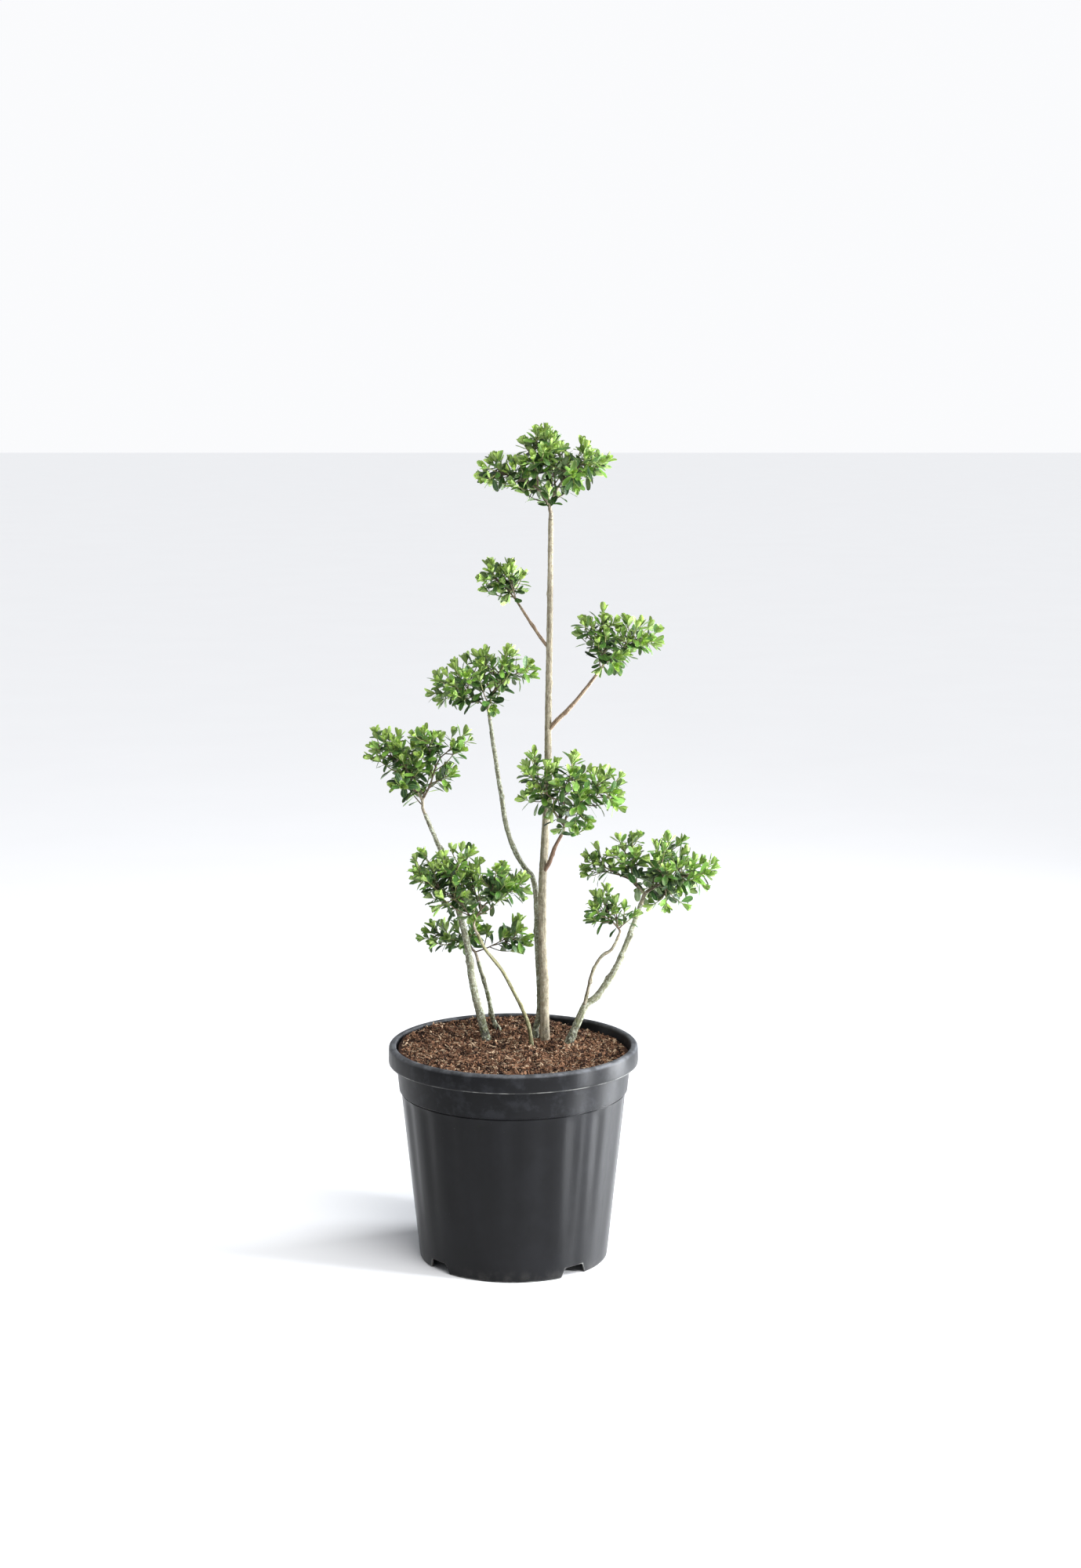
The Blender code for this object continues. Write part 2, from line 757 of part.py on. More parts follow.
def keep_main_body(mass):
    """Drops loose scraps, and the walls of hollows that fusing sealed, which fills them."""
    work = bmesh.new()
    work.from_mesh(mass.data)
    bodies = []
    unseen = set(work.faces)
    while unseen:
        body, front = [], [unseen.pop()]
        while front:
            face = front.pop()
            body.append(face)
            linked = {other for edge in face.edges for other in edge.link_faces} & unseen
            unseen -= linked
            front += linked
        bodies.append(body)
    bodies.sort(key=len)
    spare = [face for body in bodies[:-1] for face in body]
    bmesh.ops.delete(work, geom=spare, context="FACES")
    work.to_mesh(mass.data)
    work.free()


class Cloud:
    """A mass of twigs and leaves that keeps to the space of its lobes."""

    def __init__(self, name, limb, lobes):
        self.name, self.limb = name, limb
        self.lobes = [Lobe(*lobe) for lobe in lobes]
        self.rng = random.Random(name)

    def depth_of(self, place):
        return min(lobe.depth_of(place) for lobe in self.lobes)

    def holds(self, places, clouds):
        """True if the places are in this mass's space and in no other mass's."""
        for place in places:
            own = self.depth_of(place)
            if own > SPACE_SLACK:
                return False
            if any(c.depth_of(place) < max(own, 1) for c in clouds if c is not self):
                return False
        return True

    def twigs(self, obstacles):
        """The stem, and the other twigs that pass every obstacle."""
        foot = self.limb.tip + self.limb.heading * GAP
        start = foot + self.limb.heading * STEM_LENGTH
        ends = [end for lobe in self.lobes for end in lobe.shoot_ends(self.rng)]
        radius = self.limb.radii[-1]
        grown = []
        radii = [radius, radius * STEM_TAPER]
        part_twigs([foot, start], radii, ends, grown, FIRST_FORK_SHARE)
        stem, *others = sorted(grown, key=lambda twig: -twig.radii[0])
        return stem, [twig for twig in others if passes(twig.body(), obstacles)]

    def blade_that_fits(self, root, along, face, clouds, obstacles):
        """The largest leaf that keeps to the space and touches no obstacle, if any does."""
        largest = self.rng.uniform(*LEAF_SIZES)
        for share in SIZES_TRIED:
            verts, faces = leaf(root, along, face, largest * share)
            outer = [v + LEAF_ROOT_CLEAR * along for v in verts]
            if self.holds(verts[1:], clouds) and passes((outer, faces), obstacles):
                return verts, faces
        return None

    def grow(self, clouds, obstacles, finish):
        stem, others = self.twigs(obstacles)
        shapes = [twig.body() for twig in others]
        blades = []
        for twig in [stem, *others]:
            for root, along, face in leaves_on(twig, self.rng):
                blade = self.blade_that_fits(root, along, face, clouds, obstacles + blades)
                if blade:
                    blades.append(BVHTree.FromPolygons(*blade))
                    shapes.append(blade)
        return fuse(self.name, stem.body(), shapes, finish)


def passes(shape, obstacles):
    """True if a shape of verts and faces crosses none of the obstacles."""
    body = BVHTree.FromPolygons(*shape)
    return not any(body.overlap(obstacle) for obstacle in obstacles)


def main():
    clear_scene()
    make_pot()
    make_soil()
    bark = material("bark", (0.27, 0.22, 0.16), 0.8)
    limbs = {name: Limb(name, **form) for name, form in LIMBS.items()}
    for limb in limbs.values():
        make_limb(limb, limbs, bark)
    leaf_green = material("leaf_green", (0.07, 0.19, 0.035), 0.5)
    clouds = [Cloud(name, limbs[c["limb"]], c["lobes"]) for name, c in CLOUDS.items()]
    obstacles = [BVHTree.FromPolygons(*limb.body(LIMB_CLEAR)) for limb in limbs.values()]
    for cloud in clouds:
        mass = cloud.grow(clouds, obstacles, leaf_green)
        obstacles.append(BVHTree.FromPolygons(*mass))


main()
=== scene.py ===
"""How the potted Japanese holly looks: its pot, potting mix, bark, and every twig and leaf.

Metres, +Z up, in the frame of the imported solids. The limbs run where the solids run. Each cloud
grows again from the same seed and the same shoot ends as its solid, with side shoots between the
main ones and leaves of their true size. Leaves and twigs are joined by kind, each kind one mesh.
"""

import math
import random

import bmesh
import bpy
import numpy as np
from mathutils import Matrix, Vector, noise
from mathutils.bvhtree import BVHTree


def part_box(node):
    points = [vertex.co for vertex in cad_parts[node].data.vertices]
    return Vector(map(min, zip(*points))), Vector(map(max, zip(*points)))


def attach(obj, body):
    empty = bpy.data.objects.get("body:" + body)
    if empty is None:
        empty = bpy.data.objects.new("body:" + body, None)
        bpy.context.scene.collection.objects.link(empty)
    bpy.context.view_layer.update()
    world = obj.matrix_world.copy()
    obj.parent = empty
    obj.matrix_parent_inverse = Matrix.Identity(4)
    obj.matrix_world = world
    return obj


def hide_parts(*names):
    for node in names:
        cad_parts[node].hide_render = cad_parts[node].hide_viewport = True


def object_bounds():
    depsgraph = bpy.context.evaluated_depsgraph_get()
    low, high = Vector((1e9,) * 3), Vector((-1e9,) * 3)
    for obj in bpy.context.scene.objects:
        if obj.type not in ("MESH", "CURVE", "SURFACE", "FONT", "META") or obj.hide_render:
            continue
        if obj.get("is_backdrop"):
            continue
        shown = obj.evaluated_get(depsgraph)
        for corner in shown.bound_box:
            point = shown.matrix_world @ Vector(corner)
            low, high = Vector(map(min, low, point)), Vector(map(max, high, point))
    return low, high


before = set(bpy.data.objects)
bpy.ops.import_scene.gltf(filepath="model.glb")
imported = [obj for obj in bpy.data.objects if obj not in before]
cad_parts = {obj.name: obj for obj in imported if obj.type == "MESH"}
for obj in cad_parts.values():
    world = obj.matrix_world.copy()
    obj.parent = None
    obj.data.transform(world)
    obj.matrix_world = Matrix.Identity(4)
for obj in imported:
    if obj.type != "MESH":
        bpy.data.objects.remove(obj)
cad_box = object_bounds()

UP = Vector((0, 0, 1))
GOLDEN_ANGLE = math.pi * (3 - math.sqrt(5))

# Pot, from the solid's box
pot_low, pot_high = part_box("pot")
POT_HEIGHT = pot_high.z
RIM_RADIUS = pot_high.x
POT_FOOT = 0.1245
POT_WALL = 0.0025
SHOULDER_HEIGHT = 0.222
SHOULDER_RADIUS = 0.1492
SHOULDER_STEP = 0.0024
COLLAR_RADIUS = 0.1553
RIM_DEPTH = 0.0235
RIM_MOUTH = 0.1557
RIM_ROUND = 0.0042
FLOOR_RADIUS = 0.099
FLOOR_THICK = 0.003
RING_HEIGHT = 0.0145
POT_SIDES = 240
FLUTES = 22
FLUTE_DEPTH = 0.0013

# Drain notches, cut through the pot's foot
DRAIN_HEIGHT = 0.0135
DRAIN_WIDTH = 0.040
DRAIN_SLANT = 0.385
DRAIN_ROUND = 0.004
DRAIN_BEARINGS = (39.5, 129.5, 219.5, 309.5)
CUTTER_INSET = 0.015
CUTTER_EXCESS = 0.01

# Soil: higher at the back, but for the right of it
SOIL_TOP = 0.272
SOIL_RADIUS = 0.1526
SOIL_RISE = 0.0075
SOIL_MOUND = 0.0020
SOIL_LUMPS = 0.0026
CHIP_COUNT = 11000
FIBRE_COUNT = 900

# Limbs: the places that each runs through, and the radius at its foot and at its tip
FLARE = 0.11
FLARE_HEIGHT = 0.014
LIMB_STEP = 0.040
LIMBS = {
    "trunk": {
        "course": [
            (0.0419, 0.0500, SOIL_TOP),
            (0.0413, 0.0495, 0.311),
            (0.0409, 0.0490, 0.353),
            (0.0388, 0.0482, 0.407),
            (0.0384, 0.0472, 0.482),
            (0.0419, 0.0460, 0.547),
            (0.0454, 0.0450, 0.620),
            (0.0465, 0.0440, 0.725),
            (0.0484, 0.0420, 0.852),
            (0.0496, 0.0405, 0.976),
        ],
        "radii": (0.0064, 0.0034),
    },
    "twin_stem": {
        "course": [
            (0.0289, 0.0590, SOIL_TOP),
            (0.0297, 0.0592, 0.287),
            (0.0344, 0.0592, 0.306),
            (0.0347, 0.0592, 0.340),
            (0.0329, 0.0590, 0.381),
            (0.0315, 0.0585, 0.410),
            (0.0303, 0.0575, 0.458),
            (0.0275, 0.0565, 0.484),
            (0.0233, 0.0565, 0.496),
            (0.0149, 0.0575, 0.506),
            (0.0022, 0.0600, 0.527),
            (-0.0102, 0.0640, 0.563),
            (-0.0190, 0.0690, 0.616),
            (-0.0269, 0.0730, 0.668),
            (-0.0322, 0.0750, 0.704),
        ],
        "radii": (0.0044, 0.0025),
    },
    "thin_stem": {
        "course": [
            (0.0245, 0.0180, SOIL_TOP),
            (0.0177, 0.0130, 0.310),
            (-0.0072, 0.0016, 0.365),
            (-0.0192, -0.0025, 0.386),
            (-0.0368, -0.0063, 0.409),
            (-0.0470, -0.0085, 0.430),
        ],
        "radii": (0.0027, 0.0021),
    },
    "left_stem": {
        "course": [
            (-0.0356, 0.0400, SOIL_TOP),
            (-0.0430, 0.0420, 0.302),
            (-0.0516, 0.0455, 0.334),
            (-0.0557, 0.0480, 0.355),
            (-0.0640, 0.0540, 0.408),
            (-0.0929, 0.0636, 0.512),
            (-0.1195, 0.0700, 0.577),
        ],
        "radii": (0.0058, 0.0025),
    },
    "knobbly_stem": {
        "course": [
            (-0.0194, 0.0860, SOIL_TOP),
            (-0.0284, 0.0850, 0.293),
            (-0.0326, 0.0840, 0.313),
            (-0.0360, 0.0830, 0.328),
            (-0.0486, 0.0790, 0.374),
        ],
        "radii": (0.0033, 0.0026),
    },
    "right_stem": {
        "course": [
            (0.0728, 0.0300, SOIL_TOP),
            (0.0869, 0.0308, 0.305),
            (0.0969, 0.0314, 0.326),
            (0.1111, 0.0318, 0.337),
            (0.1266, 0.0322, 0.358),
            (0.1386, 0.0326, 0.379),
            (0.1515, 0.0336, 0.410),
            (0.1700, 0.0350, 0.461),
        ],
        "radii": (0.0055, 0.0033),
    },
    "right_side_branch": {
        "carrier": "right_stem",
        "course": [
            (0.0935, 0.0312, 0.319),
            (0.0978, 0.0255, 0.340),
            (0.1031, 0.0180, 0.366),
            (0.1085, 0.0135, 0.382),
            (0.1175, 0.0090, 0.397),
            (0.1289, 0.0060, 0.405),
            (0.1350, 0.0035, 0.415),
            (0.1386, 0.0020, 0.424),
        ],
        "radii": (0.0025, 0.0020),
    },
    "bough_high_left": {
        "carrier": "trunk",
        "course": [
            (0.0478, 0.0428, 0.803),
            (0.0378, 0.0510, 0.815),
            (0.0282, 0.0620, 0.8275),
            (0.0105, 0.0820, 0.853),
        ],
        "radii": (0.0023, 0.0018),
    },
    "bough_high_right": {
        "carrier": "trunk",
        "course": [
            (0.0462, 0.0443, 0.694),
            (0.0595, 0.0384, 0.7094),
            (0.0819, 0.0280, 0.7341),
            (0.1120, 0.0110, 0.775),
        ],
        "radii": (0.0032, 0.0020),
    },
    "bough_middle": {
        "carrier": "trunk",
        "course": [
            (0.0393, 0.0468, 0.502),
            (0.0470, 0.0385, 0.515),
            (0.0543, 0.0240, 0.5383),
            (0.0640, 0.0060, 0.5605),
        ],
        "radii": (0.0030, 0.0022),
    },
}

# Bark: how rough each limb is, how much lichen grows on it, its colours, and the heights of the
# knots where side twigs were cut
BARKS = {
    "trunk": (0.50, 0.20, "beige", (0.357, 0.391, 0.466, 0.722, 0.757, 0.848, 0.877, 0.921)),
    "twin_stem": (1.00, 0.80, "green", (0.30, 0.35, 0.42, 0.56, 0.60, 0.66)),
    "thin_stem": (0.25, 0.20, "olive", (0.33, 0.39)),
    "left_stem": (1.20, 0.85, "green", (0.31, 0.357, 0.38, 0.44, 0.53)),
    "knobbly_stem": (1.40, 1.00, "green", (0.279, 0.287, 0.30, 0.32, 0.35)),
    "right_stem": (1.25, 0.80, "green", (0.284, 0.322, 0.36, 0.378, 0.42)),
    "right_side_branch": (0.70, 0.45, "beige", (0.36, 0.378)),
    "bough_high_left": (0.50, 0.0, "tan", (0.829,)),
    "bough_high_right": (0.50, 0.0, "tan", (0.72, 0.75)),
    "bough_middle": (0.60, 0.0, "red", (0.53,)),
}
BARK_TONES = {
    "beige": ((0.150, 0.125, 0.080), (0.460, 0.400, 0.290)),
    "green": ((0.090, 0.090, 0.055), (0.360, 0.350, 0.250)),
    "olive": ((0.095, 0.090, 0.030), (0.330, 0.310, 0.170)),
    "tan": ((0.180, 0.115, 0.070), (0.460, 0.350, 0.250)),
    "red": ((0.130, 0.075, 0.050), (0.330, 0.220, 0.150)),
}
MOSS_COLOUR = (0.130, 0.150, 0.055)
LICHEN_COLOUR = (0.520, 0.560, 0.450)
SCAR_COLOUR = (0.014, 0.014, 0.012)
BARK_RING_STEP = 0.0013
BARK_SIDES = 28
BARK_FADE = 0.006

# Clouds: the limb that carries each, how much young growth it has, and its lobes, each a middle,
# half its width, depth and height, and how many main shoots end on it
# The lower clouds are given less young growth, which darkens their leaves: partly painted shade.
CLOUDS = {
    "cloud_top": {
        "limb": "trunk",
        "tender": 1.0,
        "lobes": [
            ((0.035, 0.040, 1.069), (0.035, 0.060, 0.041), 7),
            ((-0.021, 0.038, 1.041), (0.032, 0.048, 0.027), 4),
            ((0.102, 0.042, 1.050), (0.032, 0.052, 0.037), 4),
            ((0.050, 0.038, 1.026), (0.050, 0.066, 0.030), 4),
        ],
    },
    "cloud_high_left": {
        "limb": "bough_high_left",
        "tender": 1.1,
        "lobes": [
            ((-0.029, 0.092, 0.897), (0.026, 0.036, 0.028), 5),
            ((0.001, 0.098, 0.887), (0.028, 0.040, 0.038), 4),
        ],
    },
    "cloud_high_right": {
        "limb": "bough_high_right",
        "tender": 0.85,
        "lobes": [
            ((0.095, 0.006, 0.832), (0.018, 0.030, 0.030), 2),
            ((0.128, 0.000, 0.830), (0.025, 0.050, 0.039), 3),
            ((0.174, 0.006, 0.823), (0.029, 0.044, 0.034), 3),
            ((0.127, 0.004, 0.789), (0.030, 0.050, 0.023), 3),
        ],
    },
    "cloud_middle_left": {
        "limb": "twin_stem",
        "tender": 0.8,
        "lobes": [
            ((-0.096, 0.076, 0.747), (0.031, 0.042, 0.029), 3),
            ((-0.054, 0.082, 0.772), (0.033, 0.056, 0.038), 4),
            ((0.002, 0.078, 0.774), (0.035, 0.050, 0.031), 4),
            ((-0.045, 0.080, 0.735), (0.046, 0.056, 0.026), 3),
        ],
    },
    "cloud_far_left": {
        "limb": "left_stem",
        "tender": 0.95,
        "lobes": [
            ((-0.171, 0.072, 0.667), (0.031, 0.044, 0.031), 3),
            ((-0.123, 0.068, 0.676), (0.030, 0.050, 0.032), 3),
            ((-0.069, 0.070, 0.676), (0.018, 0.026, 0.030), 2),
            ((-0.145, 0.074, 0.625), (0.037, 0.056, 0.039), 4),
            ((-0.092, 0.078, 0.625), (0.022, 0.032, 0.020), 3),
        ],
    },
    "cloud_middle": {
        "limb": "bough_middle",
        "tender": 0.85,
        "lobes": [
            ((0.025, -0.004, 0.652), (0.023, 0.038, 0.027), 2),
            ((0.028, 0.002, 0.613), (0.024, 0.040, 0.026), 2),
            ((0.084, -0.012, 0.638), (0.038, 0.054, 0.036), 5),
            ((0.129, 0.000, 0.621), (0.026, 0.042, 0.034), 3),
            ((0.074, -0.008, 0.591), (0.039, 0.050, 0.028), 3),
            ((0.037, 0.076, 0.587), (0.028, 0.026, 0.030), 2),
        ],
    },
    "cloud_low_left": {
        "limb": "thin_stem",
        "tender": 0.75,
        "lobes": [
            ((-0.119, 0.020, 0.511), (0.022, 0.042, 0.031), 3),
            ((-0.071, 0.016, 0.512), (0.031, 0.060, 0.038), 4),
            ((-0.024, 0.014, 0.500), (0.025, 0.050, 0.035), 3),
            ((0.006, 0.012, 0.489), (0.021, 0.036, 0.025), 3),
            ((-0.070, 0.016, 0.467), (0.046, 0.058, 0.027), 4),
        ],
    },
    "tuft_low_left": {
        "limb": "knobbly_stem",
        "tender": 0.45,
        "lobes": [
            ((-0.100, 0.084, 0.409), (0.030, 0.036, 0.024), 4),
            ((-0.057, 0.092, 0.410), (0.030, 0.038, 0.032), 3),
            ((0.006, 0.074, 0.412), (0.024, 0.028, 0.029), 2),
        ],
    },
    "cloud_low_right": {
        "limb": "right_stem",
        "tender": 0.55,
        "lobes": [
            ((0.107, 0.044, 0.513), (0.019, 0.026, 0.030), 3),
            ((0.154, 0.040, 0.529), (0.029, 0.050, 0.038), 3),
            ((0.204, 0.042, 0.519), (0.038, 0.062, 0.039), 4),
            ((0.251, 0.044, 0.506), (0.027, 0.046, 0.029), 3),
            ((0.205, 0.042, 0.476), (0.046, 0.058, 0.025), 3),
        ],
    },
    "tuft_low_right": {
        "limb": "right_side_branch",
        "tender": 0.6,
        "lobes": [
            ((0.118, -0.002, 0.460), (0.027, 0.036, 0.035), 4),
            ((0.150, 0.000, 0.445), (0.023, 0.030, 0.028), 2),
        ],
    },
}

# Main shoots, by the rule that the solids follow
LOWEST_SHOOT = -0.9
SHOOT_INSET = 0.015
SHOOT_INSET_SHARE = 0.5
SHOOT_LIFT = 0.35
STEM_LENGTH = 0.008
FIRST_FORK_SHARE = 0.15
FORK_SHARE = 0.36
THINNING = 0.5
GAP = 0.0003
LIMB_CLEAR = 0.0010

# Side shoots and twigs
SPACE_SLACK = 1.14
SIDE_SHOOT_STEP = 0.0095
SIDE_SHOOT_FIRST = 0.010
SIDE_SHOOT_LENGTH = (0.022, 0.042)
SIDE_SHOOT_TILT = math.radians(45)
TWIG_STEP = 0.005
TWIG_END_RADIUS = 0.00060
TWIG_LEAST_RADIUS = 0.00085
YOUNG_WOOD = 0.018
STEM_RADIUS = 0.0017

# Leaves: true size, and how they stand along a shoot
LEAF_LENGTH = 0.0208
LEAF_WIDTH = 0.0087
LEAF_WAIST = 0.60
LEAF_THICK = 0.00035
LEAF_SPACING = 0.0040
LEAFY_LENGTH = 0.046
BARE_FOOT = 0.007
CROWN_LEAVES = 6
SHEARED_SHARE = 0.35
STATIONS = (0.0, 0.08, 0.20, 0.38, 0.55, 0.70, 0.84, 0.94, 1.0)
ACROSS = (-1.0, -0.5, 0.0, 0.5, 1.0)

# Places a leaf tries: turned by an angle, its tilt and its size cut down by a share
LEAF_TRIES = ((0, 1, 1), (0.5, 1, 1), (-0.5, 1, 0.95), (0, 0.7, 0.9), (1.1, 1.1, 0.9), (-1.1, 1.2, 0.8), (0, 0.5, 0.7))

# Leaf kinds by age and light, each with its own plain colour and gloss. The two darkest kinds go to shaded leaves,
# deep inside the clouds and low down, so their colour is partly painted shade.
LEAF_KINDS = {
    "oldest_and_shaded": ((0.012, 0.036, 0.012), 0.26),
    "deep": ((0.023, 0.070, 0.017), 0.27),
    "grown": ((0.055, 0.145, 0.025), 0.31),
    "fresh": ((0.145, 0.300, 0.042), 0.37),
    "young": ((0.330, 0.500, 0.080), 0.42),
}
BACK_COLOURS = {"old_backs": (0.120, 0.180, 0.065), "young_backs": (0.300, 0.420, 0.120)}
TWIG_COLOURS = {"young": (0.24, 0.25, 0.09), "old": (0.13, 0.095, 0.06), "stem": (0.30, 0.255, 0.185)}

# Camera: fitted to the photograph's height marks and the pot's ellipses
CAMERA_PLACE = (0.0359, -3.486, 1.189)
CAMERA_TILT = math.radians(4.095)
CAMERA_LENS = 61.27
CAMERA_SHIFT = -0.15


class Value:
    """A shader socket that adds, subtracts, multiplies and divides like a number."""

    def __init__(self, finish, socket):
        self.finish, self.socket = finish, socket

    def math(self, operation, *others):
        return self.finish.node("ShaderNodeMath", {"operation": operation}, *others)

    def __add__(self, other):
        return self.math("ADD", self, other)

    def __sub__(self, other):
        return self.math("SUBTRACT", self, other)

    def __rsub__(self, other):
        return self.math("SUBTRACT", other, self)

    def __mul__(self, other):
        return self.math("MULTIPLY", self, other)

    def __truediv__(self, other):
        return self.math("DIVIDE", self, other)

    def __pow__(self, other):
        return self.math("POWER", self, other)

    def size(self):
        return self.math("ABSOLUTE", self)

    def above(self, low, high):
        """0 below low, 1 above high, smooth between."""
        settings = {"interpolation_type": "SMOOTHSTEP"}
        return self.finish.node("ShaderNodeMapRange", settings, self, low, high)

    __radd__ = __add__
    __rmul__ = __mul__


class Finish:
    """A material, and the nodes that vary it over the surface."""

    def __init__(self, name, colour=(0.5, 0.5, 0.5), roughness=0.5):
        self.material = bpy.data.materials.new(name)
        self.material.use_nodes = True
        self.tree = self.material.node_tree
        self.shader = self.tree.nodes["Principled BSDF"]
        self.set("Base Color", (*colour, 1))
        self.set("Roughness", roughness)

    def set(self, socket, value):
        """Puts a number, a colour or a Value on one of the shader's sockets."""
        if isinstance(value, Value):
            self.tree.links.new(value.socket, self.shader.inputs[socket])
        else:
            self.shader.inputs[socket].default_value = value

    def node(self, kind, settings, *values, out=0, **named):
        """Adds a node: its settings first, then its sockets in order and by name."""
        made = self.tree.nodes.new(kind)
        for key, value in settings.items():
            setattr(made, key, value)
        for key, value in [*enumerate(values), *named.items()]:
            socket = made.inputs[key]
            if isinstance(value, Value):
                self.tree.links.new(value.socket, socket)
            elif value is not None:
                socket.default_value = value
        return Value(self, made.outputs[out])

    def mix(self, share, one, other):
        """A colour between two others."""
        made = self.tree.nodes.new("ShaderNodeMix")
        made.data_type = "RGBA"
        for name, value in (("Factor_Float", share), ("A_Color", one), ("B_Color", other)):
            socket = next(s for s in made.inputs if s.identifier == name)
            if isinstance(value, Value):
                self.tree.links.new(value.socket, socket)
            else:
                socket.default_value = value if name == "Factor_Float" else (*value, 1)
        return Value(self, next(s for s in made.outputs if s.identifier == "Result_Color"))

    def place(self):
        return self.node("ShaderNodeTexCoord", {}, out="Object")

    def stored(self, name, out="Vector"):
        return self.node("ShaderNodeAttribute", {"attribute_name": name}, out=out)

    def scaled(self, vector, scale):
        return self.node("ShaderNodeVectorMath", {"operation": "MULTIPLY"}, vector, scale)

    def noise(self, vector, scale, detail=3.0, rough=0.55):
        return self.node(
            "ShaderNodeTexNoise", {}, Vector=vector, Scale=scale, Detail=detail, Roughness=rough
        )

    def cells(self, vector, scale):
        return self.node("ShaderNodeTexVoronoi", {}, out="Distance", Vector=vector, Scale=scale)

    def axis(self, vector, name):
        return self.node("ShaderNodeSeparateXYZ", {}, vector, out=name)

    def bump(self, height, distance, strength=1.0):
        """Gives the surface a fine relief."""
        normal = self.node(
            "ShaderNodeBump", {}, Height=height, Distance=distance, Strength=strength
        )
        self.set("Normal", normal)


def add_piece(name, verts, faces, finish, nodes, smooth=True):
    """A mesh that rides on the plant's one body and stands for the given solids."""
    mesh = bpy.data.meshes.new(name)
    mesh.from_pydata(verts, [], faces)
    mesh.materials.append(finish.material)
    if smooth:
        mesh.shade_smooth()
    piece = bpy.data.objects.new(name, mesh)
    bpy.context.scene.collection.objects.link(piece)
    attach(piece, "root")
    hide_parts(*nodes)
    return piece


# Courses and tubes


def smooth_course(points, step, lead=None):
    """Places about step apart on a smooth curve through the given ones."""
    beyond = points[-1] + lead if lead else 2 * points[-1] - points[-2]
    ends = [2 * points[0] - points[1]] + points + [beyond]
    course = []
    for a, b, c, d in zip(ends, ends[1:], ends[2:], ends[3:]):
        count = max(1, round((c - b).length / step))
        for k in range(count):
            t = k / count
            bend = (2 * a - 5 * b + 4 * c - d) * t * t + (3 * b - a - 3 * c + d) * t**3
            course.append(0.5 * (2 * b + (c - a) * t + bend))
    course.append(points[-1])
    return course


def lengths_along(course):
    reached = [0.0]
    for a, b in zip(course, course[1:]):
        reached.append(reached[-1] + (b - a).length)
    return reached


def frames_along(course):
    """(heading, one way across) at each place of a course, turning with it and not about it."""
    across = (course[1] - course[0]).orthogonal()
    frames = []
    for k in range(len(course)):
        before, after = course[max(k - 1, 0)], course[min(k + 1, len(course) - 1)]
        heading = (after - before).normalized()
        across = (across - heading * across.dot(heading)).normalized()
        frames.append((heading, across))
    return frames


def way_out(heading, across, turn):
    """Unit direction square to the heading, at an angle from the way across."""
    return math.cos(turn) * across + math.sin(turn) * heading.cross(across)


def tube(course, radii, sides):
    """Verts and faces of a closed tube, its rings square to the course."""
    verts = []
    for place, radius, (heading, across) in zip(course, radii, frames_along(course)):
        for j in range(sides):
            verts.append(place + radius * way_out(heading, across, 2 * math.pi * j / sides))
    return verts, tube_faces(len(course), sides)


def tube_faces(rings, sides):
    faces = [tuple(range(sides))[::-1]]
    for k in range(rings - 1):
        for j in range(sides):
            n = (j + 1) % sides
            low, high = k * sides, (k + 1) * sides
            faces.append((low + j, low + n, high + n, high + j))
    faces.append(tuple(range((rings - 1) * sides, rings * sides)))
    return faces


class Heap:
    """Shapes gathered to be joined in one mesh."""

    def __init__(self):
        self.verts, self.faces = [], []

    def add(self, verts, faces):
        start = len(self.verts)
        self.verts += verts
        self.faces += [tuple(start + k for k in face) for face in faces]


# Pot


def wall_radius(height):
    return POT_FOOT + (SHOULDER_RADIUS - POT_FOOT) * height / SHOULDER_HEIGHT


def arc(centre, radius, start, end, steps):
    """Points of a rounded corner of the pot's outline, angles in degrees from straight out."""
    turns = [math.radians(start + (end - start) * k / steps) for k in range(steps + 1)]
    return [
        (centre[0] + radius * math.cos(turn), centre[1] + radius * math.sin(turn)) for turn in turns
    ]


def flute_at(height, turn):
    """How far the wall is drawn in by its shallow upright flutes, which fade out downwards."""
    if not 0.002 < height < SHOULDER_HEIGHT - 0.001:
        return 0
    share = height / SHOULDER_HEIGHT
    fade = min(share * 1.4, 1) * min((SHOULDER_HEIGHT - 0.001 - height) / 0.006, 1)
    return FLUTE_DEPTH * fade * (0.5 - 0.5 * math.cos(FLUTES * turn)) ** 1.5


